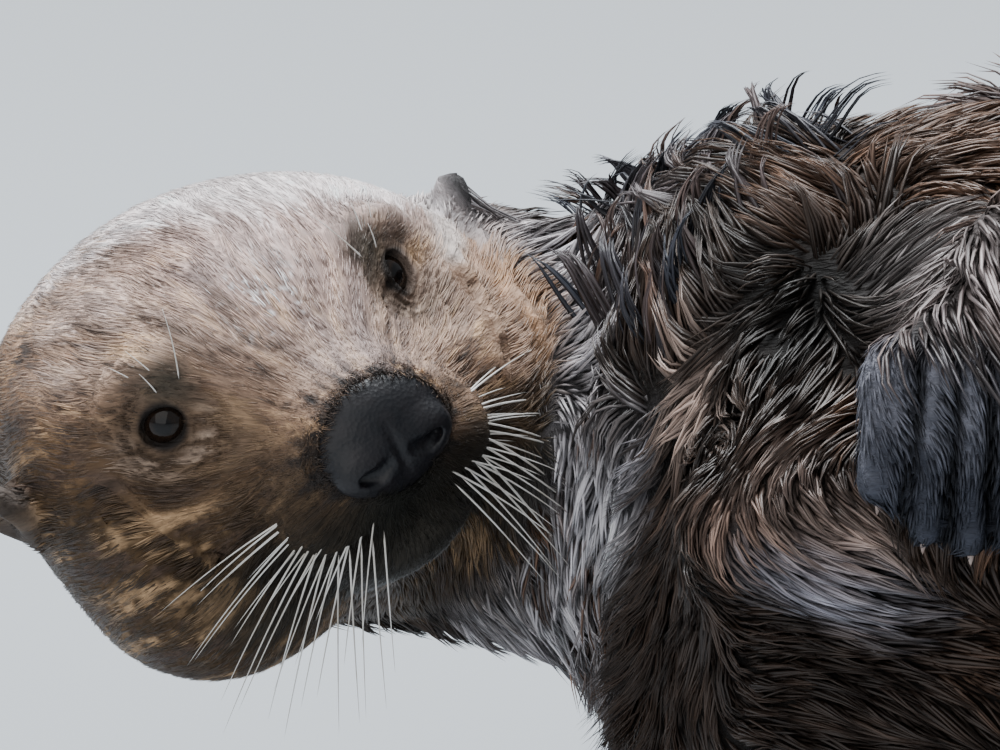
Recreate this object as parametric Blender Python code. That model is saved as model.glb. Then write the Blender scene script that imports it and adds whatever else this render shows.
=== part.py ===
"""A life-size sea otter lying on its back, its head turned to its right side. Metres, +Z up.

The head is at -X, the tail at +X, the belly up, and the animal's right side faces -Y. The body is
one smooth form, worked out as a blend of named forms, and parted into its limbs and lengths with
thin cuts. Every form reaches out to the tips of the coat.
"""

import math

import bmesh
import bpy
import numpy as np
import openvdb
from mathutils import Matrix, Vector

# ---- driving dimensions, in metres and degrees -------------------------------------------------

CM = 0.01
GAP = 0.0008  # between two neighbours after a cut
CLAW_GAP = 0.0005

# The head: its middle, and how it is turned from looking along the gaze, upright.
HEAD = Vector((-0.0640, 0.0134, 0.1660))
GAZE_RISE = 12.0  # the gaze rises this much above -Y
HEAD_ROLL = 30.0  # the crown leans towards -X
HEAD_TURN = 18.0  # the nose turns towards the animal's left
HEAD_NOD = 11.0  # the nose dips
EYE = Vector((3.53, 1.47, 2.72)) * CM  # left eyeball's middle: left, up and forward of the head's
EYE_RADIUS = 0.0085
EYE_LOOK = Vector((0.52, 0.03, 0.854)).normalized()
EAR_ROOT = Vector((7.2, 0.3, -1.6)) * CM
EAR_TIP = Vector((8.05, 1.95, -1.5)) * CM
NOSE = Vector((0.0, -1.2, 7.15)) * CM
NOSE_HALF = Vector((1.9, 1.5, 0.95)) * CM

# The trunk, from the base of the neck to the base of the tail:
# (x, y of the middle, half width, underside, top).
TRUNK = (
    (0.016, 0.052, 0.020, 0.110, 0.168),
    (0.032, 0.032, 0.064, 0.066, 0.202),
    (0.046, 0.014, 0.090, 0.036, 0.224),
    (0.062, 0.004, 0.109, 0.014, 0.236),
    (0.100, 0.000, 0.124, 0.002, 0.245),
    (0.160, 0.000, 0.135, -0.003, 0.249),
    (0.260, 0.000, 0.144, -0.003, 0.249),
    (0.400, 0.000, 0.151, -0.003, 0.248),
    (0.520, 0.000, 0.151, -0.003, 0.241),
    (0.620, 0.000, 0.143, -0.003, 0.222),
    (0.710, 0.000, 0.124, -0.003, 0.184),
    (0.790, 0.000, 0.088, -0.002, 0.132),
    (0.850, 0.000, 0.054, -0.002, 0.080),
    (0.900, 0.000, 0.018, 0.008, 0.040),
)
# The neck swings round behind the head: (x, y, z, radius).
NECK = ((-0.045, 0.072, 0.150, 0.054), (-0.008, 0.068, 0.148, 0.054), (0.045, 0.034, 0.144, 0.062))
TAIL = (  # (x, y of the middle, half width, underside, top)
    (0.800, 0.000, 0.020, 0.020, 0.060),
    (0.830, 0.000, 0.056, -0.002, 0.076),
    (0.900, 0.000, 0.045, -0.002, 0.056),
    (0.980, 0.000, 0.040, -0.002, 0.046),
    (1.060, 0.000, 0.033, -0.002, 0.037),
    (1.110, 0.000, 0.021, -0.0015, 0.026),
)
TAIL_CUTS = (0.872, 0.990)
TRUNK_CUTS = (0.030, 0.300, 0.560)

# The right forelimb; the left one is its mirror image, with its wrist held lower and further out.
SHOULDER = Vector((0.074, -0.092, 0.150))
ELBOW = Vector((0.190, -0.122, 0.184))
WRIST = Vector((0.140, -0.133, 0.231))
KNUCKLES = Vector((0.1235, -0.1625, 0.205))
ARM_RADII = (0.033, 0.035, 0.025)
LEFT_WRIST_SHIFT = Vector((0.0, 0.020, -0.030))
PAW_HALF = Vector((0.030, 0.027, 0.0145))
FINGER_SPREAD = (-0.026, -0.0125, 0.0, 0.0125, 0.024)
FINGER_LENGTH = (0.024, 0.034, 0.037, 0.035, 0.027)
FINGER_RADIUS = 0.0078

# The right hind limb; the left one is its mirror image.
HIP = Vector((0.690, -0.075, 0.090))
KNEE = Vector((0.775, -0.118, 0.092))
HEEL = Vector((0.868, -0.100, 0.031))
LEG_RADII = (0.070, 0.050, 0.032)
FLIPPER_AIM = Vector((0.70, -0.22, 0.68)).normalized()
TOE_FAN = (-9.0, -3.5, 2.0, 7.5, 13.0)  # degrees outwards, from the first toe to the fifth
TOE_LENGTH = (0.166, 0.177, 0.186, 0.194, 0.202)
TOE_RADIUS = 0.0095

FUR = (0.150, 0.085, 0.050, 1.0)
HEAD_FUR = (0.330, 0.250, 0.180, 1.0)
SHORT_FUR = (0.085, 0.085, 0.095, 1.0)
NOSE_SKIN = (0.030, 0.032, 0.040, 1.0)
EYE_DARK = (0.012, 0.010, 0.009, 1.0)
HORN = (0.420, 0.330, 0.260, 1.0)


# ---- forms as distance fields ------------------------------------------------------------------


def turned(roll, turn, nod, rise):
    """Columns left, up and forward of a head that looks along the gaze, then turns, nods, rolls."""
    gaze = Matrix.Rotation(math.radians(90 - rise), 3, "X")
    gaze = gaze @ Matrix.Rotation(math.radians(roll), 3, "Z")
    gaze = gaze @ Matrix.Rotation(math.radians(nod), 3, "X")
    return gaze @ Matrix.Rotation(math.radians(turn), 3, "Y")


HEAD_AXES = turned(HEAD_ROLL, HEAD_TURN, HEAD_NOD, GAZE_RISE)


def in_head(left, up, forward):
    """The world place of a point given in the head's own directions."""
    return HEAD + HEAD_AXES @ Vector((left, up, forward))


def ellipsoid(points, middle, half, axes=None):
    """Distance to an ellipsoid, good near its surface: k0 (k0 - 1) / k1."""
    local = points - np.array(middle)
    if axes is not None:
        local = local @ np.array(axes)
    half = np.array(half)
    k0 = np.linalg.norm(local / half, axis=-1)
    k1 = np.linalg.norm(local / half**2, axis=-1)
    return k0 * (k0 - 1) / np.maximum(k1, 1e-9)


def limb(points, start, end, start_radius, end_radius):
    """Distance to a round bar whose radius changes evenly from one end to the other."""
    start, end = np.array(start), np.array(end)
    along = end - start
    share = np.clip((points - start) @ along / (along @ along), 0, 1)[..., None]
    radius = start_radius + (end_radius - start_radius) * share[..., 0]
    return np.linalg.norm(points - start - share * along, axis=-1) - radius


def blend(first, second, reach):
    """The nearer of two fields, with a fillet as wide as reach where they meet."""
    share = np.clip(0.5 + 0.5 * (second - first) / reach, 0, 1)
    return second + (first - second) * share - reach * share * (1 - share)


def carve(solid, tool, reach):
    """The first field less the second, with the same fillet at the rim."""
    return -blend(-solid, tool, reach)


def eased(at, stations, column):
    """A smooth curve through one column of a table of stations, read at many places."""
    places = np.array([row[0] for row in stations])
    values = np.array([row[column] for row in stations])
    slopes = np.gradient(values, places)
    at = np.clip(at, places[0], places[-1])
    i = np.clip(np.searchsorted(places, at) - 1, 0, len(places) - 2)
    width = places[i + 1] - places[i]
    t = (at - places[i]) / width
    rise = values[i + 1] - values[i]
    bend = (slopes[i] * width - rise) * (1 - t) - (slopes[i + 1] * width - rise) * t
    return values[i] + rise * t + t * (1 - t) * bend


def length_of_body(points, stations):
    """Distance to a body laid along X, whose cross-sections are ellipses read from the stations."""
    x, z = points[..., 0], points[..., 2]
    y = points[..., 1] - eased(x, stations, 1)
    wide = eased(x, stations, 2)
    under, top = eased(x, stations, 3), eased(x, stations, 4)
    middle, high = (under + top) / 2, (top - under) / 2
    k0 = np.hypot(y / wide, (z - middle) / high)
    k1 = np.hypot(y / wide**2, (z - middle) / high**2)
    side = k0 * (k0 - 1) / np.maximum(k1, 1e-9)
    beyond = np.maximum(stations[0][0] - x, x - stations[-1][0])
    return np.maximum(side, beyond)


def head_form(points):
    """The skull's masses under their coat: braincase, cheeks, jowls, muzzle, whisker pads, chin."""
    local = (points - np.array(HEAD)) @ np.array(HEAD_AXES) / CM

    def mass(middle, half):
        return ellipsoid(local, middle, half)

    form = mass((0, 0.5, -1.4), (7.0, 5.3, 6.0))
    form = blend(form, mass((0, 0.6, -4.2), (6.6, 5.0, 5.0)), 1.0)
    form = blend(form, mass((0, 0.8, 1.5), (4.6, 3.8, 3.6)), 1.6)
    form = blend(form, mass((0, -3.2, -0.5), (4.8, 3.2, 4.6)), 1.6)
    form = blend(form, limb(local, (0, -0.1, 2.4), (0, -1.0, 5.2), 3.5, 2.6), 2.0)
    for side in (-1, 1):
        form = blend(form, mass((side * 4.1, -1.3, 0.2), (3.2, 3.7, 4.2)), 1.8)
        form = blend(form, mass((side * 3.7, -3.3, 0.6), (3.2, 2.9, 4.0)), 1.8)
        form = blend(form, mass((side * 3.3, 2.6, 2.7), (1.9, 1.0, 1.3)), 1.0)
    chin = mass((0, -4.3, 4.2), (2.3, 1.3, 2.3))
    pads = np.minimum(
        mass((-1.6, -2.4, 5.4), (2.0, 1.85, 1.9)), mass((1.6, -2.4, 5.4), (2.0, 1.85, 1.9))
    )
    form = blend(blend(form, chin, 1.2), pads, 1.1)
    form = blend(form, mass(NOSE / CM, NOSE_HALF / CM), 0.6)
    for side in (-1, 1):
        look = Vector((side * EYE_LOOK.x, EYE_LOOK.y, EYE_LOOK.z))
        hollow = Vector((side * EYE.x, EYE.y, EYE.z)) / CM + look * 2.35
        form = carve(form, mass(hollow, (1.75, 1.75, 1.75)), 0.7)
        form = blend(form, ear_form(local, side), 0.5)
    return form * CM


def ear_place(side):
    """Middle of an ear flap, in centimetres of the head's directions, and its own directions."""
    root = Vector((side * EAR_ROOT.x, EAR_ROOT.y, EAR_ROOT.z)) / CM
    tip = Vector((side * EAR_TIP.x, EAR_TIP.y, EAR_TIP.z)) / CM
    long_way = (tip - root).normalized()
    thin_way = Vector((side * 0.92, -0.38, 0.10))
    thin_way = (thin_way - long_way * thin_way.dot(long_way)).normalized()
    return (root + tip) / 2, Matrix((long_way, thin_way, long_way.cross(thin_way))).transposed()


def ear_form(local, side):
    """A small thick rounded ear flap with a shallow bowl."""
    middle, axes = ear_place(side)
    flap = ellipsoid(local, middle, (1.3, 0.5, 1.0), axes)
    bowl = ellipsoid(local, middle + axes.col[1] * 0.55, (0.85, 0.45, 0.6), axes)
    return carve(flap, bowl, 0.2)


def mirrored(point, side):
    """A point of the right side, moved to the left side when side is -1."""
    return Vector((point.x, point.y * side, point.z))


def wrist_of(side):
    return mirrored(WRIST, side) + (LEFT_WRIST_SHIFT if side < 0 else Vector())


def knuckles_of(side):
    return mirrored(KNUCKLES, side) + (LEFT_WRIST_SHIFT if side < 0 else Vector())


def paw_axes(side):
    """Columns across the paw, along the hanging fingers, and through its back."""
    across = Vector((1, 0, 0))
    along = (knuckles_of(side) - wrist_of(side)).normalized()
    along = Vector((-0.10, -0.10 * side, -1.0)).normalized() + along * 0.45
    along = (along - across * along.dot(across)).normalized()
    return Matrix((across, along, across.cross(along))).transposed()


def fingers(side):
    """Start, end and claw aim of each finger, from the inner one at -X outwards."""
    axes = paw_axes(side)
    across, along = axes.col[0], axes.col[1]
    for spread, length in zip(FINGER_SPREAD, FINGER_LENGTH):
        root = knuckles_of(side) + across * spread * 0.75
        aim = (along + across * spread * 6.0).normalized()
        yield root, root + aim * length, aim


def arm_form(points, side):
    shoulder, elbow = mirrored(SHOULDER, side), mirrored(ELBOW, side)
    wrist = wrist_of(side)
    top, middle, low = ARM_RADII
    form = limb(points, shoulder, elbow, top, middle)
    return blend(form, limb(points, elbow, wrist, middle * 0.94, low), 0.014)


def paw_form(points, side):
    wrist, knuckles = wrist_of(side), knuckles_of(side)
    axes = paw_axes(side)
    form = ellipsoid(points, knuckles, PAW_HALF, axes)
    form = blend(form, limb(points, wrist, knuckles, ARM_RADII[2] * 0.95, 0.018), 0.014)
    for root, tip, _ in fingers(side):
        form = blend(form, limb(points, root, tip, FINGER_RADIUS * 1.1, FINGER_RADIUS), 0.004)
    return form


def flipper_axes(side):
    """Columns along the flipper, outwards across it, and through it."""
    along = mirrored(FLIPPER_AIM, side)
    across = Vector((0.10, -side, 0.10))
    across = (across - along * across.dot(along)).normalized()
    return Matrix((along, across, along.cross(across))).transposed()


def toes(side):
    """Start, end and aim of each toe, from the inner one outwards."""
    axes = flipper_axes(side)
    along, across = axes.col[0], axes.col[1]
    for fan, length in zip(TOE_FAN, TOE_LENGTH):
        aim = along * math.cos(math.radians(fan)) + across * math.sin(math.radians(fan))
        root = mirrored(HEEL, side) + aim * 0.025 + across * fan * 0.0007
        yield root, mirrored(HEEL, side) + aim * length + across * fan * 0.0007, aim


def leg_form(points, side):
    hip, knee, heel = (mirrored(place, side) for place in (HIP, KNEE, HEEL))
    top, middle, low = LEG_RADII
    form = limb(points, hip, knee, top, middle)
    return blend(form, limb(points, knee, heel, middle * 0.92, low), 0.03)


def flipper_form(points, side):
    axes = flipper_axes(side)
    heel = mirrored(HEEL, side)
    along, across = axes.col[0], axes.col[1]
    form = limb(points, heel, heel + along * 0.055, LEG_RADII[2], 0.019)
    web = ellipsoid(points, heel + along * 0.104 + across * 0.006, (0.072, 0.052, 0.0085), axes)
    form = blend(form, web, 0.012)
    for root, tip, _ in toes(side):
        form = blend(form, limb(points, root, tip, TOE_RADIUS * 1.2, TOE_RADIUS * 0.75), 0.007)
    return form


def trunk_form(points):
    """The body and head with its limbs down to the wrists and heels."""
    form = length_of_body(points, TRUNK)
    for first, second in zip(NECK, NECK[1:]):
        form = blend(form, limb(points, first[:3], second[:3], first[3], second[3]), 0.03)
    nape = in_head(0, -0.4 * CM, -2.6 * CM)
    form = blend(form, limb(points, nape, NECK[0][:3], 0.060, NECK[0][3]), 0.02)
    form = blend(form, length_of_body(points, TAIL), 0.03)
    form = blend(form, ellipsoid(points, (1.110, 0, 0.0125), (0.024, 0.019, 0.0135)), 0.01)
    for side in (1, -1):
        form = blend(form, leg_form(points, side), 0.03)
        form = blend(form, arm_form(points, side), 0.012)
    return blend(form, head_form(points), 0.006)


def body_form(points):
    """The whole animal but for its eyes and claws, above and below the floor."""
    form = trunk_form(points)
    for side in (1, -1):
        form = blend(form, flipper_form(points, side), 0.012)
        form = blend(form, paw_form(points, side), 0.004)
    return form


# ---- meshes ------------------------------------------------------------------------------------


def settled(points, field, step):
    """Points moved onto the surface along the field's slope, three times."""
    reach = 0.0003
    for _ in range(3):
        slope = np.stack(
            [field(points + reach * e) - field(points - reach * e) for e in np.eye(3)], axis=-1
        )
        slope /= 2 * reach
        pull = field(points)[:, None] * slope / np.maximum((slope**2).sum(-1, keepdims=True), 0.2)
        points = points - np.clip(pull, -step / 2, step / 2)
    return points


def surface(low, high, step, share, field=body_form):
    """A closed mesh of the body inside a box, made with one vertex every step, then thinned."""
    low, high = np.array(low, float), np.array(high, float)
    counts = np.ceil((high - low) / step).astype(int) + 5
    start = low - 2 * step
    ways = [start[i] + step * np.arange(counts[i]) for i in range(3)]
    grid = np.stack(np.meshgrid(*ways, indexing="ij"), axis=-1)
    outside = np.maximum(low - grid, grid - high).max(axis=-1)
    values = np.maximum(field(grid.reshape(-1, 3)).reshape(counts), outside)
    volume = openvdb.FloatGrid(step)
    volume.copyFromArray(np.ascontiguousarray(values, np.float32))
    places, quads = volume.convertToQuads(isovalue=0.0)
    places = start + step * np.asarray(places, float)
    inside = np.maximum(low - places, places - high).max(axis=-1) < -0.3 * step
    places[inside] = settled(places[inside], field, step)
    mesh = bmesh.new()
    corners = [mesh.verts.new(place) for place in places]
    for quad in quads:
        mesh.faces.new([corners[i] for i in quad])
    drop_crumbs(mesh)
    bmesh.ops.recalc_face_normals(mesh, faces=mesh.faces)
    return thinned(mesh, share)


def thinned(mesh, share):
    """Fewer triangles, kept where the form bends most."""
    made = node("thinning", mesh, FUR)
    modifier = made.modifiers.new("thin", "DECIMATE")
    modifier.ratio = share
    graph = bpy.context.evaluated_depsgraph_get()
    mesh = bmesh.new()
    mesh.from_object(made, graph)
    discard(made)
    return mesh


def discard(made):
    data, paint = made.data, made.data.materials[0]
    bpy.data.objects.remove(made)
    bpy.data.meshes.remove(data)
    bpy.data.materials.remove(paint)


def drop_crumbs(mesh):
    """Leaves only the piece with the most vertices."""
    unseen, pieces = set(mesh.verts), []
    while unseen:
        edge_of_search = [unseen.pop()]
        piece = list(edge_of_search)
        while edge_of_search:
            near = {edge.other_vert(v) for v in edge_of_search for edge in v.link_edges} & unseen
            unseen -= near
            piece += near
            edge_of_search = list(near)
        pieces.append(piece)
    pieces.sort(key=len)
    crumbs = [vertex for piece in pieces[:-1] for vertex in piece]
    bmesh.ops.delete(mesh, geom=crumbs, context="VERTS")


def keep(mesh, place, outwards, back=GAP / 2):
    """Cuts the mesh with a plane, drops what lies outwards of it, and closes the cut flat."""
    outwards = Vector(outwards).normalized()
    bmesh.ops.bisect_plane(
        mesh,
        geom=mesh.verts[:] + mesh.edges[:] + mesh.faces[:],
        dist=1e-6,
        plane_co=Vector(place) - outwards * back,
        plane_no=outwards,
        clear_outer=True,
    )
    rim = [edge for edge in mesh.edges if edge.is_boundary]
    if rim:
        bmesh.ops.holes_fill(mesh, edges=rim, sides=0)
    return mesh


def material(name, colour, roughness):
    made = bpy.data.materials.new(name)
    made.use_nodes = True
    shader = made.node_tree.nodes["Principled BSDF"]
    shader.inputs["Base Color"].default_value = colour
    shader.inputs["Roughness"].default_value = roughness
    return made


def node(name, mesh, colour, roughness=0.6):
    """An object from a bmesh, as triangles, with its own material."""
    bmesh.ops.triangulate(mesh, faces=mesh.faces)
    bmesh.ops.recalc_face_normals(mesh, faces=mesh.faces)
    data = bpy.data.meshes.new(name)
    mesh.to_mesh(data)
    mesh.free()
    made = bpy.data.objects.new(name, data)
    bpy.context.scene.collection.objects.link(made)
    data.materials.append(material(name, colour, roughness))
    return made


def round_points(middle, half, axes=None, rings=2):
    """Points spread evenly over an ellipsoid."""
    ball = bmesh.new()
    bmesh.ops.create_icosphere(ball, subdivisions=rings, radius=1)
    directions = [vertex.co.copy() for vertex in ball.verts]
    ball.free()
    half = Vector(half)
    places = []
    for way in directions:
        place = Vector((way.x * half.x, way.y * half.y, way.z * half.z))
        places.append(Vector(middle) + (axes @ place if axes else place))
    return places


def hull(places):
    """A closed convex mesh round the points."""
    mesh = bmesh.new()
    for place in places:
        mesh.verts.new(place)
    made = bmesh.ops.convex_hull(mesh, input=mesh.verts)
    bmesh.ops.delete(mesh, geom=made["geom_interior"], context="VERTS")
    bmesh.ops.recalc_face_normals(mesh, faces=mesh.faces)
    return mesh


def combined(target, tool, operation):
    """Applies a Boolean of the target with a tool given as a bmesh."""
    cutter = node("cutter", tool, FUR)
    cutter.hide_render = True
    cutter.display_type = "WIRE"
    step = target.modifiers.new("cut", "BOOLEAN")
    step.operation = operation
    step.object = cutter
    step.solver = "EXACT"
    graph = bpy.context.evaluated_depsgraph_get()
    done = bpy.data.meshes.new_from_object(target.evaluated_get(graph))
    target.modifiers.clear()
    old = target.data
    target.data = done
    bpy.data.meshes.remove(old)
    discard(cutter)
    mesh = bmesh.new()
    mesh.from_mesh(target.data)
    drop_crumbs(mesh)
    mesh.to_mesh(target.data)
    mesh.free()


def cut_out(target, places_of, *others):
    """Keeps the target inside a hull, and cuts a hull larger by the gap out of the others."""
    combined(target, hull(places_of(-GAP / 2)), "INTERSECT")
    for other in others:
        combined(other, hull(places_of(GAP / 2)), "DIFFERENCE")


# ---- the parts ---------------------------------------------------------------------------------


def head_hull(more):
    """Round the head, flat behind the ears."""
    half = Vector((9.3, 8.6, 12.5)) * CM + Vector((more, more, more))
    back = -4.7 * CM - more
    return [
        in_head(place.x, place.y, max(place.z, back))
        for place in round_points((0, 0, 0), half, rings=3)
    ]


def ear_hull(side):
    """Round one ear flap and the root it stands on."""
    middle, axes = ear_place(side)

    def places(more):
        half = Vector((1.5, 0.75, 1.2)) * CM + Vector((more, more, more))
        return round_points(in_head(*(middle * CM)), half, HEAD_AXES @ axes)

    return places


def nose_hull(more):
    half = NOSE_HALF + Vector((0.12, 0.12, 0.25)) * CM + Vector((more, more, more))
    middle = NOSE + Vector((0, 0, 0.15)) * CM
    return [
        in_head(place.x, place.y, max(place.z, 6.75 * CM - more))
        for place in round_points(middle, half)
    ]


def jaw_hull(more):
    """A wedge under the mouth, from the lips back to below the cheeks."""
    back, front = -1.2 * CM - more, 9 * CM
    wide, low = 5.0 * CM + more, -8 * CM
    line = ((back, -2.55 * CM + more), (5.0 * CM, -3.50 * CM + more), (front, -4.1 * CM + more))
    return [
        in_head(side * wide, height, forward)
        for side in (-1, 1)
        for forward, top in line
        for height in (low, top)
    ]


def muzzle_hull(more):
    back, front = 3.9 * CM - more, 12 * CM
    wide, high, low = 5.0 * CM, 5.0 * CM, -9 * CM
    return [
        in_head(side * wide, height, forward)
        for side in (-1, 1)
        for height in (low, high)
        for forward in (back, front)
    ]


def eye_well(side, more):
    """The eyeball's pocket and the opening between the lids, as the hull of two rounds."""
    middle = in_head(side * EYE.x, EYE.y, EYE.z)
    look = HEAD_AXES @ Vector((side * EYE_LOOK.x, EYE_LOOK.y, EYE_LOOK.z))
    radius = EYE_RADIUS + more
    places = round_points(middle, (radius,) * 3)
    outer = radius * 0.95
    return places + round_points(middle + look * 0.012, (outer,) * 3)


def make_head():
    """The head, with its muzzle, jaw, nose and ears cut from it and its eyes let in."""
    low = HEAD - Vector((0.120, 0.120, 0.115))
    high = HEAD + Vector((0.115, 0.100, 0.110))
    head = node("head", surface(low, high, 0.0065, 0.14), HEAD_FUR)
    cut_out(head, head_hull)
    for side, name in ((-1, "ear_right"), (1, "ear_left")):
        middle = in_head(side * 7.6 * CM, 1.1 * CM, -1.5 * CM)
        reach = Vector((0.034, 0.034, 0.034))
        ear = node(name, surface(middle - reach, middle + reach, 0.0040, 0.15), HEAD_FUR)
        cut_out(ear, ear_hull(side), head)
    middle = in_head(0, -2.6 * CM, 6.0 * CM)
    reach = Vector((0.060, 0.060, 0.060))
    muzzle = node("muzzle", surface(middle - reach, middle + reach, 0.0050, 0.11), HEAD_FUR)
    cut_out(muzzle, head_hull)
    cut_out(muzzle, muzzle_hull, head)
    jaw = node("lower_jaw", surface(low, high, 0.0075, 0.14), HEAD_FUR)
    cut_out(jaw, head_hull)
    cut_out(jaw, jaw_hull, muzzle, head)
    nose = node("nose_pad", surface(middle - reach, middle + reach, 0.0045, 0.18), NOSE_SKIN, 0.35)
    cut_out(nose, nose_hull, muzzle)
    for side in (-1, 1):
        nostril = in_head(side * 0.75 * CM, -1.6 * CM, 8.15 * CM)
        axes = HEAD_AXES @ Matrix.Rotation(math.radians(side * 28), 3, "Z")
        hole = round_points(nostril, (0.0036, 0.0024, 0.0060), axes, rings=1)
        combined(nose, hull(hole), "DIFFERENCE")
    for side, name in ((-1, "eye_right"), (1, "eye_left")):
        combined(head, hull(eye_well(side, GAP)), "DIFFERENCE")
        middle = in_head(side * EYE.x, EYE.y, EYE.z)
        node(name, hull(round_points(middle, (EYE_RADIUS,) * 3)), EYE_DARK, 0.05)


def make_trunk():
    """Neck, chest, belly, rump and tail, cut across, before the limbs are cut out of them."""
    lengths = (
        ("neck", -0.16, TRUNK_CUTS[0], 0.0110, 0.12),
        ("chest", TRUNK_CUTS[0], TRUNK_CUTS[1], 0.0150, 0.10),
        ("belly", TRUNK_CUTS[1], TRUNK_CUTS[2], 0.0200, 0.14),
        ("rump", TRUNK_CUTS[2], TAIL_CUTS[0], 0.0160, 0.09),
        ("tail_root", TAIL_CUTS[0], TAIL_CUTS[1], 0.0110, 0.20),
        ("tail_tip", TAIL_CUTS[1], 1.15, 0.0090, 0.16),
    )
    parts = {}
    for name, start, end, step, share in lengths:
        wide = 0.075 if name.startswith("tail") else 0.19
        low, high = (start - 1.2 * step, -wide, -0.02), (end + 1.2 * step, wide, 0.30)
        mesh = surface(low, high, step, share, trunk_form)
        keep(mesh, (end, 0, 0), (1, 0, 0))
        keep(mesh, (start, 0, 0), (-1, 0, 0))
        keep(mesh, (0, 0, 0), (0, 0, -1), 0)
        parts[name] = node(name, mesh, FUR)
    for name in ("neck", "chest"):
        combined(parts[name], hull(head_hull(GAP / 2)), "DIFFERENCE")
    return parts


def bar_hull(start, end, start_radius, end_radius):
    """Places round a straight bar with round ends, for cutting a limb out of the body."""

    def places(more):
        return round_points(start, (start_radius + more,) * 3) + round_points(
            end, (end_radius + more,) * 3
        )

    return places


def box_round(places, margin):
    """The lowest and highest corners round some places, with a margin."""
    places = np.array([tuple(place) for place in places])
    return places.min(axis=0) - margin, places.max(axis=0) + margin


def make_arm(side, name, chest):
    """Upper arm, forearm and forepaw with its five claws."""
    shoulder, elbow = mirrored(SHOULDER, side), mirrored(ELBOW, side)
    wrist, knuckles = wrist_of(side), knuckles_of(side)
    upper_hull = bar_hull(shoulder + Vector((0.004, 0.004 * side, 0)), elbow, 0.038, 0.0415)
    upper = surface(*box_round((shoulder, elbow), 0.050), 0.0100, 0.16, trunk_form)
    upper = node("upper_arm_" + name, upper, FUR)
    cut_out(upper, upper_hull, chest)
    down = (knuckles - wrist).normalized()
    fore = surface(*box_round((elbow, wrist), 0.042), 0.0085, 0.16, trunk_form)
    keep(fore, wrist + down * 0.006, down)
    fore = node("forearm_" + name, fore, FUR)
    fore_hull = bar_hull(elbow, wrist, 0.0375, 0.032)
    cut_out(fore, fore_hull, chest)
    combined(fore, hull(upper_hull(GAP / 2)), "DIFFERENCE")
    tips = [tip for _, tip, _ in fingers(side)]
    paw = surface(*box_round([wrist, *tips], 0.022), 0.0048, 0.11, lambda p: paw_form(p, side))
    keep(paw, wrist + down * 0.006, -down)
    paw = node("forepaw_" + name, paw, SHORT_FUR)
    combined(paw, hull(upper_hull(GAP / 2)), "DIFFERENCE")
    for number, (_, tip, aim) in enumerate(fingers(side), 1):
        back = paw_axes(side).col[2] * -side
        add_claw(f"claw_fore_{name}_{number}", paw, tip + aim * 0.0045, aim, back, 0.0085)


def make_leg(side, name, rump, tail_root):
    """Thigh, shank and hind flipper with its five claws."""
    hip, knee, heel = (mirrored(place, side) for place in (HIP, KNEE, HEEL))
    thigh_hull = bar_hull(hip + Vector((0, -0.022 * side, 0)), knee, 0.060, 0.056)
    thigh = surface(*box_round((hip, knee), 0.078), 0.0140, 0.14, trunk_form)
    thigh = node("thigh_" + name, thigh, FUR)
    cut_out(thigh, thigh_hull, rump)
    aim = mirrored(FLIPPER_AIM, side)
    shank = surface(*box_round((knee, heel), 0.052), 0.0100, 0.15)
    keep(shank, heel + aim * 0.026, aim)
    keep(shank, (0, 0, 0), (0, 0, -1), 0)
    shank = node("shank_" + name, shank, FUR)
    shank_hull = bar_hull(knee + Vector((0, -0.006 * side, 0)), heel, 0.050, 0.044)
    cut_out(shank, shank_hull, rump, tail_root)
    combined(shank, hull(thigh_hull(GAP / 2)), "DIFFERENCE")
    tips = [tip for _, tip, _ in toes(side)]
    foot = surface(*box_round([heel, *tips], 0.030), 0.0060, 0.08, lambda p: flipper_form(p, side))
    keep(foot, heel + aim * 0.026, -aim)
    foot = node("hind_flipper_" + name, foot, SHORT_FUR)
    for number, (_, tip, aim) in enumerate(toes(side), 1):
        back = flipper_axes(side).col[2] * side
        add_claw(f"claw_hind_{name}_{number}", foot, tip + aim * 0.003, aim, back, 0.0095)


def add_claw(name, toe, root, aim, back, length):
    """A small claw, oval at its root and bent down to its point, set 3 mm into its toe."""
    across = aim.cross(back).normalized()
    half_width, half_height = 0.0017, 0.0022

    def places(more):
        rings = ((-0.0030, 1.0, 0.0), (length * 0.45, 0.72, 0.0006), (length * 0.80, 0.34, -0.0004))
        for forward, share, lift in rings:
            for step in range(5):
                angle = math.tau * step / 5
                wide = math.cos(angle) * (half_width * share + more)
                high = math.sin(angle) * (half_height * share + more)
                yield root + aim * forward + across * wide + back * (high + lift)
        yield root + aim * (length + more) - back * 0.0022

    combined(toe, hull(places(CLAW_GAP)), "DIFFERENCE")
    node(name, hull(places(0)), HORN, 0.4)


def join_flat_faces():
    """Joins the faces that lie in one plane, such as the slivers of a cut, and parts them again."""
    for made in bpy.data.objects:
        mesh = bmesh.new()
        mesh.from_mesh(made.data)
        bmesh.ops.dissolve_limit(
            mesh, angle_limit=math.radians(0.6), verts=mesh.verts, edges=mesh.edges
        )
        bmesh.ops.triangulate(mesh, faces=mesh.faces)
        mesh.to_mesh(made.data)
        mesh.free()


def centre_on_floor():
    """Moves every mesh so that the middle of the box's floor is the origin."""
    nodes = [made for made in bpy.data.objects if made.type == "MESH"]
    places = np.array([tuple(v.co) for made in nodes for v in made.data.vertices])
    low, high = places.min(axis=0), places.max(axis=0)
    shift = Vector((-(low[0] + high[0]) / 2, -(low[1] + high[1]) / 2, -low[2]))
    for made in nodes:
        made.data.transform(Matrix.Translation(shift))


for old in list(bpy.data.objects):
    bpy.data.objects.remove(old)

make_head()
trunk_parts = make_trunk()
for mirror, side_name in ((1, "right"), (-1, "left")):
    make_arm(mirror, side_name, trunk_parts["chest"])
    make_leg(mirror, side_name, trunk_parts["rump"], trunk_parts["tail_root"])
join_flat_faces()
centre_on_floor()
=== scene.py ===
import math

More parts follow.
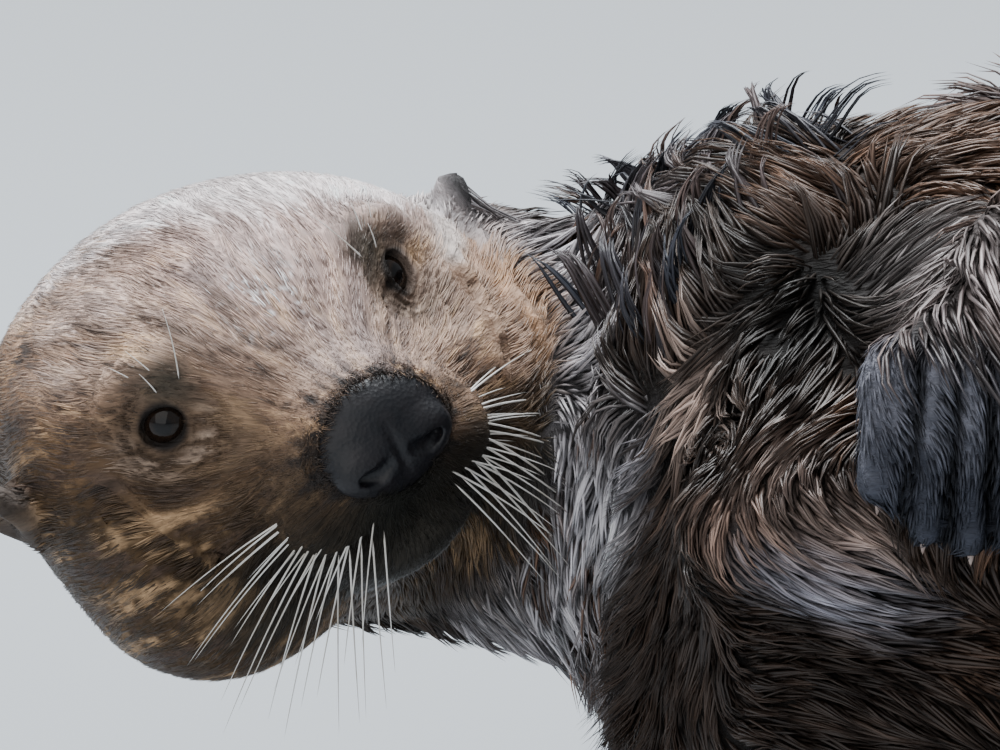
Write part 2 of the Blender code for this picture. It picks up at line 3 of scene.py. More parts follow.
import bpy
import bmesh
import numpy as np
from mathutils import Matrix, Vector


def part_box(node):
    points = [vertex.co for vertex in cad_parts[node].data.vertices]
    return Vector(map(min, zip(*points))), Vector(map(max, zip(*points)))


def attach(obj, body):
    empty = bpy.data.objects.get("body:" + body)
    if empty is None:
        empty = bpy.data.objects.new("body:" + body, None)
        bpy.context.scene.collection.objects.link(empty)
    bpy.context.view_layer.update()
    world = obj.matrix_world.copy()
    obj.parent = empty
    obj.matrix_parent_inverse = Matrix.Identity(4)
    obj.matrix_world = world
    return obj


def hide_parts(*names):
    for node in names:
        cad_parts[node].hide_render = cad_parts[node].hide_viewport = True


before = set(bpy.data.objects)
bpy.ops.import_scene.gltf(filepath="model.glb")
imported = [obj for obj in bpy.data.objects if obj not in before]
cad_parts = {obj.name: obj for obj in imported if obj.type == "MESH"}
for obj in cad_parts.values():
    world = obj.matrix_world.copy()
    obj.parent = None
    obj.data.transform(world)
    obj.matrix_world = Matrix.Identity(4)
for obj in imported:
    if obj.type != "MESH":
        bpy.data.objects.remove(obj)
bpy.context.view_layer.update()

import openvdb
from mathutils import Matrix, Vector


# ---- skin --------------------------------------------------------------------------------------
# The real animal's skin is one loose bag under the coat, bare only on the nose, the lid rims and
# the soles. Here it is one closed surface from nose to tail, grown finer towards the face and
# paws, and it lies inside the solids by the depth of the coat.

CM = 0.01
HEAD = Vector((-0.0640, 0.0134, 0.1660))
GAZE_RISE, HEAD_ROLL, HEAD_NOD, HEAD_TURN = 12.0, 30.0, 11.0, 18.0
EYE = Vector((3.53, 1.47, 2.72))  # centimetres left, up and forward of the head's middle
EYE_LOOK = Vector((0.52, 0.03, 0.854)).normalized()
EAR_ROOT, EAR_TIP = Vector((7.25, 0.2, -1.2)), Vector((8.1, 1.95, -1.2))
NOSE, NOSE_HALF = Vector((0.0, -1.2, 7.15)), Vector((1.95, 1.6, 0.95))


def head_axes():
    """Columns left, up and forward of the head: looking along -Y, risen, rolled, nodded, turned."""
    axes = Matrix.Rotation(math.radians(90 - GAZE_RISE), 3, "X")
    axes = axes @ Matrix.Rotation(math.radians(HEAD_ROLL), 3, "Z")
    axes = axes @ Matrix.Rotation(math.radians(HEAD_NOD), 3, "X")
    return axes @ Matrix.Rotation(math.radians(HEAD_TURN), 3, "Y")


AXES = np.array(head_axes())


def in_head(places):
    """Body coordinates of places given in centimetres of the head's own directions."""
    return np.array(HEAD) + np.asarray(places, float) * CM @ AXES.T


def to_head(points):
    """Centimetres left, up and forward of the head's middle."""
    return (points - np.array(HEAD)) @ AXES / CM


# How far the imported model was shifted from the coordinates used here: the right eye tells.
eye_low, eye_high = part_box("eye_right")
SHIFT = (np.array(eye_low) + np.array(eye_high)) / 2 - in_head((-EYE.x, EYE.y, EYE.z))


def ellipsoid(points, middle, half, axes=None):
    """Distance to an ellipsoid, good near its surface: k0 (k0 - 1) / k1."""
    local = points - np.array(middle)
    if axes is not None:
        local = local @ np.array(axes)
    half = np.array(half)
    k0 = np.linalg.norm(local / half, axis=-1)
    k1 = np.linalg.norm(local / half**2, axis=-1)
    return k0 * (k0 - 1) / np.maximum(k1, 1e-9)


def limb(points, start, end, start_radius, end_radius):
    """Distance to a round bar whose radius changes evenly from one end to the other."""
    start, end = np.array(start), np.array(end)
    along = end - start
    share = np.clip((points - start) @ along / (along @ along), 0, 1)[..., None]
    radius = start_radius + (end_radius - start_radius) * share[..., 0]
    return np.linalg.norm(points - start - share * along, axis=-1) - radius


def chain(points, places, radii):
    """Distance to a bent bar: the nearest of its straight lengths."""
    parts = [
        limb(points, a, b, r, s)
        for a, b, r, s in zip(places, places[1:], radii, radii[1:])
    ]
    return np.min(parts, axis=0)


def blend(first, second, reach):
    """The nearer of two fields, with a fillet as wide as reach where they meet."""
    share = np.clip(0.5 + 0.5 * (second - first) / reach, 0, 1)
    return second + (first - second) * share - reach * share * (1 - share)


def carve(solid, tool, reach):
    """The first field less the second, with the same fillet at the rim."""
    return -blend(-solid, tool, reach)


def ease(share):
    """0 to 1 with no corner at either end: 3 s^2 - 2 s^3."""
    share = np.clip(share, 0, 1)
    return share * share * (3 - 2 * share)


def eased(at, stations, column):
    """A smooth curve through one column of a table of stations, read at many places."""
    places = np.array([row[0] for row in stations])
    values = np.array([row[column] for row in stations])
    slopes = np.gradient(values, places)
    at = np.clip(at, places[0], places[-1])
    i = np.clip(np.searchsorted(places, at) - 1, 0, len(places) - 2)
    width = places[i + 1] - places[i]
    t = (at - places[i]) / width
    rise = values[i + 1] - values[i]
    bend = (slopes[i] * width - rise) * (1 - t) - (slopes[i + 1] * width - rise) * t
    return values[i] + rise * t + t * (1 - t) * bend


def length_of_body(points, stations):
    """Distance to a body laid along X, whose cross-sections are ellipses read from stations."""
    x, z = points[..., 0], points[..., 2]
    y = points[..., 1] - eased(x, stations, 1)
    wide = eased(x, stations, 2)
    under, top = eased(x, stations, 3), eased(x, stations, 4)
    middle, high = (under + top) / 2, (top - under) / 2
    k0 = np.hypot(y / wide, (z - middle) / high)
    k1 = np.hypot(y / wide**2, (z - middle) / high**2)
    side = k0 * (k0 - 1) / np.maximum(k1, 1e-9)
    beyond = np.maximum(stations[0][0] - x, x - stations[-1][0])
    return np.maximum(side, beyond)


def ear_frame(side):
    """Middle of an ear flap, and its long, thin and broad directions, in the head's centimetres."""
    root = Vector((side * EAR_ROOT.x, EAR_ROOT.y, EAR_ROOT.z))
    tip = Vector((side * EAR_TIP.x, EAR_TIP.y, EAR_TIP.z))
    long_way = (tip - root).normalized()
    thin_way = Vector((side * 0.92, -0.38, 0.10))
    thin_way = (thin_way - long_way * thin_way.dot(long_way)).normalized()
    return (root + tip) / 2, Matrix((long_way, thin_way, long_way.cross(thin_way))).transposed()


def eye_frame(side):
    """Middle of an eyeball and its directions out, across and up, in the head's centimetres."""
    out = Vector((side * EYE_LOOK.x, EYE_LOOK.y, EYE_LOOK.z))
    across = Vector((0, 1, 0)).cross(out).normalized()
    return Vector((side * EYE.x, EYE.y, EYE.z)), Matrix((out, across, out.cross(across))).transposed()


MOUTH = ((5.05, -2.15, 4.35), (4.3, -3.0, 5.3), (2.6, -3.75, 6.35), (0.9, -3.65, 7.0), (0, -3.35, 7.2))
CHEEK_FOLD = ((4.95, -2.3, 4.6), (5.35, -1.4, 4.25), (5.65, -0.4, 3.8), (5.75, 0.8, 2.9), (6.5, 1.3, 0.9))


def face_details(form, local):
    """Lids, corners of the eyes, mouth line, fold of the cheek and furrow of the nose, cut or added."""
    for side in (-1, 1):
        ball, axes = eye_frame(side)
        out, across, up = (axes.col[i] for i in range(3))
        form = blend(form, ellipsoid(local, ball - out * 0.02, (1.10, 1.12, 1.05), axes), 0.45)
        opening = (0.60, 0.66, 0.50) if side < 0 else (0.60, 0.36, 0.60)
        form = carve(form, ellipsoid(local, ball + out * 0.98, opening, axes), 0.08)
        away = local - np.array(ball + out * 0.9)
        reach = np.linalg.norm(away, axis=-1)
        turn = np.arctan2(away @ np.array(up), away @ np.array(across))
        folds = np.sin(reach * 21 + 2.4 * np.sin(turn * 2 + 1) + 1.3 * np.sin(turn * 5 + side))
        lower = 0.35 + 0.65 * ease(0.6 - away @ np.array(up))
        form = form + 0.030 * folds * lower * ease((reach - 0.62) / 0.2) * ease((1.9 - reach) / 0.7)
        corner = ball + out * 0.93 - across * side * 0.62 - up * 0.12
        tear = corner - across * side * 0.55 - up * 0.32 - out * 0.05
        form = carve(form, limb(local, corner, tear, 0.13, 0.05), 0.10)
        mouth = [(side * x, y, z) for x, y, z in MOUTH]
        form = carve(form, chain(local, mouth, (0.10, 0.10, 0.08, 0.08, 0.10)), 0.16)
        fold = [(side * x, y, z) for x, y, z in CHEEK_FOLD]
        radii = np.array((0.30, 0.34, 0.36, 0.34, 0.25)) * (1.0 if side > 0 else 0.6)
        form = blend(form, chain(local, fold, radii), 0.35)
        behind = [(side * (x + 0.55), y - 0.15, z - 0.35) for x, y, z in CHEEK_FOLD[:4]]
        form = carve(form, chain(local, behind, (0.12, 0.16, 0.16, 0.08)), 0.22)
    form = carve(form, limb(local, (0.2, 0.55, 6.95), (1.55, 0.15, 6.85), 0.07, 0.05), 0.20)
    return form


def head_form(points, detailed):
    """The head's masses under their coat: braincase, cheeks, jowls, muzzle, whisker pads, chin."""
    local = to_head(points)

    def mass(middle, half):
        """An ellipsoid in the head's own centimetres."""
        return ellipsoid(local, middle, half)

    form = mass((0, 0.5, -1.4), (7.0, 5.3, 6.0))
    form = blend(form, mass((0, 0.6, -4.2), (6.6, 5.0, 5.0)), 1.0)
    form = blend(form, mass((0, 0.8, 1.5), (4.6, 3.8, 3.6)), 1.6)
    form = blend(form, mass((0, -3.2, -0.5), (4.8, 3.2, 4.6)), 1.6)
    form = blend(form, limb(local, (0, -0.1, 2.4), (0, -1.0, 5.2), 3.5, 2.6), 2.0)
    for side in (-1, 1):
        form = blend(form, mass((side * 4.1, -1.3, 0.2), (3.2, 3.7, 4.2)), 1.8)
        form = blend(form, mass((side * 3.7, -3.3, 0.6), (3.2, 2.9, 4.0)), 1.8)
        form = blend(form, mass((side * 3.3, 2.6, 2.7), (1.9, 1.0, 1.3)), 1.0)
    chin = mass((0, -4.3, 4.2), (2.3, 1.3, 2.3))
    pads = np.minimum(
        mass((-1.6, -2.4, 5.4), (2.0, 1.85, 1.9)), mass((1.6, -2.4, 5.4), (2.0, 1.85, 1.9))
    )
    form = blend(blend(form, chin, 1.2), pads, 1.1)
    form = blend(form, mass(NOSE, NOSE_HALF), 0.6)
    for side in (-1, 1):
        ball, axes = eye_frame(side)
        hollow = ball + axes.col[0] * 2.35
        form = carve(form, mass(hollow, (1.75, 1.75, 1.75)), 0.7)
        middle, axes = ear_frame(side)
        flap = ellipsoid(local, middle, (1.3, 0.60, 1.15), axes)
        bowl = ellipsoid(local, middle + axes.col[1] * 0.55, (0.85, 0.45, 0.6), axes)
        form = blend(form, carve(flap, bowl, 0.2), 0.5)
    if detailed:
        form = face_details(form, local)
    return form * CM


TRUNK = (  # x, y of the middle, half width, underside, top
    (0.016, 0.052, 0.020, 0.110, 0.168),
    (0.032, 0.032, 0.064, 0.066, 0.202),
    (0.046, 0.014, 0.090, 0.036, 0.224),
    (0.062, 0.004, 0.109, 0.014, 0.236),
    (0.100, 0.000, 0.124, 0.002, 0.245),
    (0.160, 0.000, 0.135, -0.003, 0.249),
    (0.260, 0.000, 0.144, -0.003, 0.249),
    (0.400, 0.000, 0.151, -0.003, 0.248),
    (0.520, 0.000, 0.151, -0.003, 0.241),
    (0.620, 0.000, 0.143, -0.003, 0.222),
    (0.710, 0.000, 0.124, -0.003, 0.184),
    (0.790, 0.000, 0.088, -0.002, 0.132),
    (0.850, 0.000, 0.054, -0.002, 0.080),
    (0.900, 0.000, 0.018, 0.008, 0.040),
)
TAIL = (
    (0.800, 0.000, 0.020, 0.020, 0.060),
    (0.830, 0.000, 0.056, -0.002, 0.076),
    (0.900, 0.000, 0.045, -0.002, 0.056),
    (0.980, 0.000, 0.040, -0.002, 0.046),
    (1.060, 0.000, 0.033, -0.002, 0.037),
    (1.110, 0.000, 0.021, -0.0015, 0.026),
)
NECK = ((-0.045, 0.072, 0.150, 0.054), (-0.008, 0.068, 0.148, 0.054), (0.045, 0.034, 0.144, 0.062))
SHOULDER, ELBOW = Vector((0.074, -0.092, 0.150)), Vector((0.190, -0.122, 0.184))
WRIST, KNUCKLES = Vector((0.140, -0.133, 0.231)), Vector((0.1235, -0.1625, 0.205))
ARM_RADII = (0.033, 0.035, 0.025)
LEFT_WRIST_SHIFT = Vector((0.0, 0.020, -0.030))
PAW_HALF = (0.030, 0.027, 0.0145)
FINGER_SPREAD = (-0.026, -0.0125, 0.0, 0.0125, 0.024)
FINGER_LENGTH = (0.024, 0.034, 0.037, 0.035, 0.027)
FINGER_RADIUS = 0.0078
HIP, KNEE = Vector((0.690, -0.075, 0.090)), Vector((0.775, -0.118, 0.092))
HEEL = Vector((0.868, -0.100, 0.031))
LEG_RADII = (0.070, 0.050, 0.032)
FLIPPER_AIM = Vector((0.70, -0.22, 0.68)).normalized()
TOE_FAN = (-9.0, -3.5, 2.0, 7.5, 13.0)
TOE_LENGTH = (0.166, 0.177, 0.186, 0.194, 0.202)
TOE_RADIUS = 0.0095


def mirrored(point, side):
    """A point of the right side, moved to the left side when side is -1."""
    return Vector((point.x, point.y * side, point.z))


def wrist_and_knuckles(side):
    """Wrist and knuckles of one arm: the left arm's lie lower and further out."""
    shift = LEFT_WRIST_SHIFT if side < 0 else Vector()
    return mirrored(WRIST, side) + shift, mirrored(KNUCKLES, side) + shift


def paw_frame(side):
    """Columns across the paw, along the hanging fingers, and through its back."""
    wrist, knuckles = wrist_and_knuckles(side)
    across = Vector((1, 0, 0))
    along = Vector((-0.10, -0.10 * side, -1.0)).normalized() + (knuckles - wrist).normalized() * 0.45
    along = (along - across * along.dot(across)).normalized()
    return Matrix((across, along, across.cross(along))).transposed()


def fingers(side):
    """Start, end and aim of each finger, from the inner one at -X outwards."""
    axes = paw_frame(side)
    across, along = axes.col[0], axes.col[1]
    for spread, length in zip(FINGER_SPREAD, FINGER_LENGTH):
        root = wrist_and_knuckles(side)[1] + across * spread * 0.75
        aim = (along + across * spread * 6.0).normalized()
        yield root, root + aim * length, aim


def arm_form(points, side):
    """Distance to the folded arm: a tapering bar to the elbow, blended with one to the wrist."""
    wrist = wrist_and_knuckles(side)[0]
    top, middle, low = ARM_RADII
    elbow = mirrored(ELBOW, side)
    form = limb(points, mirrored(SHOULDER, side), elbow, top, middle)
    return blend(form, limb(points, elbow, wrist, middle * 0.94, low), 0.014)


def paw_form(points, side):
    """Distance to the forepaw: a flat palm, its wrist and five round-ended fingers."""
    wrist, knuckles = wrist_and_knuckles(side)
    form = ellipsoid(points, knuckles, PAW_HALF, paw_frame(side))
    form = blend(form, limb(points, wrist, knuckles, ARM_RADII[2] * 0.95, 0.018), 0.014)
    for root, tip, _ in fingers(side):
        form = blend(form, limb(points, root, tip, FINGER_RADIUS * 1.1, FINGER_RADIUS), 0.004)
    return form


def flipper_frame(side):
    """Columns along the flipper, outwards across it, and through it."""
    along = mirrored(FLIPPER_AIM, side)
    across = Vector((0.10, -side, 0.10))
    across = (across - along * across.dot(along)).normalized()
    return Matrix((along, across, along.cross(across))).transposed()


def toes(side):
    """Start, end and aim of each toe, from the inner one outwards."""
    axes = flipper_frame(side)
    along, across = axes.col[0], axes.col[1]
    for fan, length in zip(TOE_FAN, TOE_LENGTH):
        aim = along * math.cos(math.radians(fan)) + across * math.sin(math.radians(fan))
        root = mirrored(HEEL, side) + aim * 0.025 + across * fan * 0.0007
        yield root, mirrored(HEEL, side) + aim * length + across * fan * 0.0007, aim


def leg_form(points, side):
    """Distance to the leg: a tapering bar to the knee, blended with one to the heel."""
    hip, knee, heel = (mirrored(place, side) for place in (HIP, KNEE, HEEL))
    top, middle, low = LEG_RADII
    form = limb(points, hip, knee, top, middle)
    return blend(form, limb(points, knee, heel, middle * 0.92, low), 0.03)


def flipper_form(points, side):
    """Distance to the hind flipper: the heel, a thin web and five long toes."""
    axes = flipper_frame(side)
    heel = mirrored(HEEL, side)
    along, across = axes.col[0], axes.col[1]
    form = limb(points, heel, heel + along * 0.055, LEG_RADII[2], 0.019)
    web = ellipsoid(points, heel + along * 0.104 + across * 0.006, (0.072, 0.052, 0.0085), axes)
    form = blend(form, web, 0.012)
    for root, tip, _ in toes(side):
        form = blend(form, limb(points, root, tip, TOE_RADIUS * 1.2, TOE_RADIUS * 0.75), 0.007)
    return form


def body_form(points, detailed=False):
    """The whole animal's outer form, out to the tips of its coat."""
    form = length_of_body(points, TRUNK)
    for first, second in zip(NECK, NECK[1:]):
        form = blend(form, limb(points, first[:3], second[:3], first[3], second[3]), 0.03)
    nape = in_head((0, -0.4, -2.6))
    form = blend(form, limb(points, nape, NECK[0][:3], 0.060, NECK[0][3]), 0.02)
    form = blend(form, length_of_body(points, TAIL), 0.03)
    form = blend(form, ellipsoid(points, (1.110, 0, 0.0125), (0.024, 0.019, 0.0135)), 0.01)
    for side in (1, -1):
        form = blend(form, leg_form(points, side), 0.03)
        form = blend(form, arm_form(points, side), 0.012)
    form = blend(form, head_form(points, detailed), 0.006)
    for side in (1, -1):
        form = blend(form, flipper_form(points, side), 0.012)
        form = blend(form, paw_form(points, side), 0.004)
    return np.maximum(form, -points[..., 2])


def bare(points):
    """1 on the nose and round the eyes, falling to 0 within about a centimetre."""
    local = to_head(points)
    nose = ellipsoid(local, NOSE, NOSE_HALF)
    eyes = [np.linalg.norm(local - np.array(eye_frame(side)[0]), axis=-1) - 1.15 for side in (-1, 1)]
    return ease(1 - np.minimum(nose, np.min(eyes, axis=0)) / 0.9)


PAD_WIDE, PAD_HIGH, PAD_MIDDLE = 2.02, 1.66, -1.22


def nose_outline(local):
    """Centimetres outside the nose pad's outline, a rounded diamond seen from in front."""
    across = np.abs(local[..., 0]) / PAD_WIDE
    rise = np.abs(local[..., 1] - PAD_MIDDLE) / PAD_HIGH
    return np.maximum(((across**1.8 + rise**1.8) ** (1 / 1.8) - 1) * 1.7, 5.6 - local[..., 2])


def under_nose(points):
    """1 inside the nose's outline, where leather takes the place of the skin."""
    return ease(-nose_outline(to_head(points)) / 0.28)


def short_coated(points):
    """1 on the paws and flippers, falling to 0 within two centimetres and towards the wrists' tops."""
    near = [paw_form(points, s) for s in (-1, 1)] + [flipper_form(points, s) for s in (-1, 1)]
    wrist_top = ease((points[:, 2] - 0.212) / 0.012) * (points[:, 0] < 0.5)
    near = np.min(near, axis=0) + 0.02 * wrist_top
    return ease(1 - near / 0.020)


def on_head(points):
    """1 on the head, falling to 0 within two centimetres of it and behind the edge of the jaw."""
    x, _, z = points.T
    edge = 0.014 - 0.95 * np.clip(z - 0.188, 0, 0.03)
    return ease(1.15 - head_form(points, False) / 0.016) * ease(0.5 - (x - edge) / 0.005)


ARM_CREASE = (
    (0.046, -0.092, 0.166), (0.058, -0.087, 0.182), (0.065, -0.087, 0.191),
    (0.078, -0.091, 0.199), (0.094, -0.091, 0.203),
)
NECK_CREASE = (
    (0.026, 0.050, 0.209), (0.029, 0.010, 0.203), (0.030, -0.018, 0.190),
    (0.032, -0.036, 0.172), (0.036, -0.055, 0.158),
)
JAW_CREASE = (
    (-0.006, 0.037, 0.205), (0.000, 0.014, 0.198), (0.008, 0.003, 0.186),
    (0.012, -0.010, 0.172), (0.012, -0.015, 0.160), (0.009, -0.016, 0.147),
)
MOUND_CREASE = (
    (0.044, -0.050, 0.196), (0.058, -0.070, 0.203), (0.060, -0.080, 0.192), (0.055, -0.085, 0.176),
)
CREASES = (  # places, reach, share of the full depth
    (ARM_CREASE, 0.009, 1.0),
    (NECK_CREASE, 0.010, 1.0),
    (MOUND_CREASE, 0.008, 1.0),
    (JAW_CREASE, 0.007, 0.8),
)
CHEST_HOLLOW, MOUND_SHADE = (0.0594, -0.0833, 0.1867), (0.078, -0.076, 0.211)


def near_place(local, place, radius):
    """1 at a place, falling to 0 at the radius."""
    return ease(1 - np.linalg.norm(local - np.array(place), axis=-1) / radius)


def relief(points):
    """How much deeper the coat is where the chest folds: behind the neck, round a mound, above the arm."""
    hollow = near_place(points, CHEST_HOLLOW, 0.014)
    hollow = np.maximum(hollow, near_place(points, MOUND_SHADE, 0.022) * 0.8)
    creases = [
        ease(1 - chain(points, places, (0,) * len(places)) / reach) * share
        for places, reach, share in CREASES
    ]
    return 0.009 * hollow + 0.006 * np.max(creases, axis=0)


def on_ears(points):
    """1 on the ears, falling to 0 within five millimetres."""
    local = to_head(points)
    flaps = []
    for side in (-1, 1):
        middle, axes = ear_frame(side)
        flaps.append(ellipsoid(local, middle, (1.3, 0.5, 1.0), axes))
    return ease(1 - np.min(flaps, axis=0) / 0.5)


def digit_gaps(points):
    """1 along the furrows that run up the back of each forepaw between its fingers."""
    found = np.zeros(len(points))
    for side in (-1, 1):
        knuckles, axes = wrist_and_knuckles(side)[1], np.array(paw_frame(side))
        across, along, _ = ((points - np.array(knuckles)) @ axes).T
        for first, second in zip(FINGER_SPREAD, FINGER_SPREAD[1:]):
            middle = (first + second) / 2 * (0.75 + 5.0 * np.clip(along, -0.03, 0.03))
            furrow = ease(1 - np.abs(across - middle) / 0.0045) * ease((along + 0.022) / 0.014)
            on_paw = np.linalg.norm(points - np.array(knuckles), axis=1) < 0.06
            found = np.maximum(found, furrow * on_paw)
    return found


BODY_COAT, HEAD_LESS = 0.0065, 0.0045  # depth on the trunk, and how much less it is on the head
PAW_COAT, FURROW = 0.0010, 0.0032  # depth on the paws, and what the furrows add
EAR_COAT, BARE_COAT, NOSE_SUNK = 0.0007, 0.0002, 0.0040


def coat_depth(points):
    """Depth of the coat in metres: most on the body, 2 mm on the head, least on paws, ears and face."""
    short, naked = short_coated(points), bare(points)
    depth = BODY_COAT - HEAD_LESS * on_head(points) + relief(points)
    depth = depth * (1 - short) + (PAW_COAT + FURROW * digit_gaps(points)) * short
    depth = depth + (EAR_COAT - depth) * on_ears(points)
    depth = depth * (1 - naked) + BARE_COAT * naked
    return depth + NOSE_SUNK * under_nose(points)


def skin_form(points):
    """The skin's field: the outer form moved inwards by the depth of the coat."""
    return body_form(points, True) + coat_depth(points)


CORNERS = np.array(((1, 1, 1), (1, -1, -1), (-1, 1, -1), (-1, -1, 1)), float)


def slope_of(field, points, reach=0.0003):
    """A field's value and gradient, from the four corners of a small tetrahedron."""
    values = [field(points + reach * corner) for corner in CORNERS]
    slope = sum(value[:, None] * corner for value, corner in zip(values, CORNERS)) / (4 * reach)
    return np.mean(values, axis=0), slope


def settled(points, field, step, rounds=3):
    """Points moved onto the surface along the field's slope."""
    for _ in range(rounds):
        value, slope = slope_of(field, points)
        pull = value[:, None] * slope / np.maximum((slope**2).sum(-1, keepdims=True), 0.2)
        points = points - np.clip(pull, -step / 2, step / 2)
    return points


class Lattice:
    """A field sampled on a lattice, exactly near its surface, to be read quickly anywhere."""

    def __init__(self, field, low, high, step, coarse=4):
        """Reads the field on a coarse lattice, then exactly where that says the surface is near."""
        self.low, self.step = np.array(low, float), step
        counts = np.ceil((np.array(high) - low) / step / coarse).astype(int) * coarse + 1
        rough_ways = [low[i] + step * coarse * np.arange((counts[i] - 1) // coarse + 1) for i in range(3)]
        rough = np.stack(np.meshgrid(*rough_ways, indexing="ij"), axis=-1)
        rough_values = field(rough.reshape(-1, 3)).reshape(rough.shape[:3])
        ways = [low[i] + step * np.arange(counts[i]) for i in range(3)]
        places = np.stack(np.meshgrid(*ways, indexing="ij"), axis=-1).reshape(-1, 3)
        self.values, self.step = rough_values, step * coarse
        values = self.read(places)[0]
        near = np.abs(values) < step * coarse * 1.1
        values[near] = field(places[near])
        self.values, self.step = values.reshape(counts), step

    def read(self, points):
        """Value and slope at each point, weighted from the eight lattice corners round it."""
        places = (points - self.low) / self.step
        base = np.clip(np.floor(places).astype(int), 0, np.array(self.values.shape) - 2)
        share = places - base
        value, slope = np.zeros(len(points)), np.zeros((len(points), 3))
        for corner in np.ndindex(2, 2, 2):
            found = self.values[tuple((base + corner).T)]
            weights = np.where(corner, share, 1 - share)
            signs = np.where(corner, 1.0, -1.0) / self.step
            value += found * weights[:, 0] * weights[:, 1] * weights[:, 2]
            slope[:, 0] += found * signs[0] * weights[:, 1] * weights[:, 2]
            slope[:, 1] += found * signs[1] * weights[:, 0] * weights[:, 2]
            slope[:, 2] += found * signs[2] * weights[:, 0] * weights[:, 1]
        return value, slope


def closed_mesh(lattice, level):
    """The surface on which a lattice reads the level, one vertex about every step."""
    volume = openvdb.FloatGrid(1.0)
    volume.copyFromArray(np.ascontiguousarray(lattice.values, np.float32))
    places, quads = volume.convertToQuads(isovalue=level)
    mesh = bmesh.new()
    places = lattice.low + lattice.step * np.asarray(places, float)
    corners = [mesh.verts.new(place) for place in places]
    for quad in quads:
        mesh.faces.new([corners[i] for i in quad])
    bmesh.ops.recalc_face_normals(mesh, faces=mesh.faces)
    return mesh


def places_of(vertices):
    """Coordinates of a bmesh's vertices."""
    return np.array([vertex.co[:] for vertex in vertices])


def face_middles(mesh):
    """The middle of each face of a bmesh."""
    return np.array([face.calc_center_median()[:] for face in mesh.faces])


def refined(mesh, wanted, step):
    """Parts each wanted face in four and moves the new corners onto the skin."""
    chosen = {edge for face, yes in zip(mesh.faces, wanted) if yes for edge in face.edges}
    old = len(mesh.verts)
    bmesh.ops.subdivide_edges(mesh, edges=list(chosen), cuts=1, use_grid_fill=True)
    mesh.verts.ensure_lookup_table()
    new = mesh.verts[old:]
    for vertex, place in zip(new, settled(places_of(new), skin_form, step, 3)):
        vertex.co = place


def skin_levels(middles):
    """For each refinement, which faces take part in it."""
    local = to_head(middles)
    head = head_form(middles, False) < 0.006
    paws = np.min([paw_form(middles, s) for s in (-1, 1)], axis=0) < 0.012
    feet = np.min([flipper_form(middles, s) for s in (-1, 1)], axis=0) < 0.006
    eyes = np.min(
        [np.linalg.norm(local - np.array(eye_frame(s)[0]), axis=-1) for s in (-1, 1)], axis=0
    )
    face = head & (local[:, 2] > 1.0)
    ears = on_ears(middles) > 0.5
    rim = np.abs(nose_outline(local)) < 0.22
    return [head | paws | feet, face | paws | ears, (eyes < 1.8) | rim, eyes < 1.3]


SKIN_STEP, FINER_STEPS = 0.0060, (0.003, 0.0015, 0.0008, 0.0004)
outer = Lattice(body_form, (-0.18, -0.24, -0.02), (1.16, 0.24, 0.29), SKIN_STEP)
skin_mesh = closed_mesh(outer, -0.0005)
for vertex, place in zip(skin_mesh.verts, settled(places_of(skin_mesh.verts), skin_form, SKIN_STEP)):
    vertex.co = place
for level, step in enumerate(FINER_STEPS):
    refined(skin_mesh, skin_levels(face_middles(skin_mesh))[level], step)
bmesh.ops.triangulate(skin_mesh, faces=[face for face in skin_mesh.faces if len(face.verts) > 4])


def mottle(points, size, seed):
    """Smooth noise from -1 to 1: hashed values on a lattice of that size, eased between corners."""
    cells = points / size
    base = np.floor(cells)
    share = ease(cells - base)
    total = np.zeros(len(points))
    for corner in np.ndindex(2, 2, 2):
        key = (base + corner).astype(np.int64)
        hashed = key[:, 0] * 73856093 ^ key[:, 1] * 19349663 ^ key[:, 2] * 83492791 ^ seed * 374761
        hashed = (hashed ^ (hashed >> 13)) * 1274126177
        hashed = (hashed ^ (hashed >> 16)) & 0xFFFF
        weight = np.prod(np.where(corner, share, 1 - share), axis=1)
        total += weight * (hashed / 32767.5 - 1)
    return total


def mixed(first, second, share):
    """Rows of the first moved towards the second by their share: a + (b - a) s."""
    return first + (np.array(second) - first) * np.asarray(share)[:, None]


HAIR_START = np.array((0, -1.2, 8.8))  # in front of the nose, where the head's hair spreads from


def flow_of(local):
    """Head places stretched so that noise read there runs in streaks away from the nose."""
    way = local - HAIR_START
    distance = np.linalg.norm(way, axis=1, keepdims=True)
    return way / distance * (0.085 + 0.42 * distance * CM)


# Colour by height over the head: partly its own tones, partly painted light, paler where the crown faces
# the lamps, with painted shade low down.
HEAD_TONES_AND_LIGHT_BY_HEIGHT = (  # centimetres over the head's middle, colour
    (-2.5, (0.062, 0.036, 0.017)),
    (-0.6, (0.150, 0.086, 0.045)),
    (1.2, (0.330, 0.200, 0.128)),
    (2.8, (0.440, 0.300, 0.228)),
    (4.4, (0.415, 0.290, 0.250)),
    (6.0, (0.480, 0.360, 0.330)),
)
MUZZLE_DARK = (((-1.8, -2.4, 6.0), 3.4), ((1.9, -3.0, 6.0), 3.0), ((0, -3.6, 6.4), 2.8))
MUZZLE_BROWN = (((-2.6, 0.2, 5.0), 2.0), ((-2.9, -1.5, 4.8), 2.4), ((-1.9, -0.9, 6.6), 1.7))


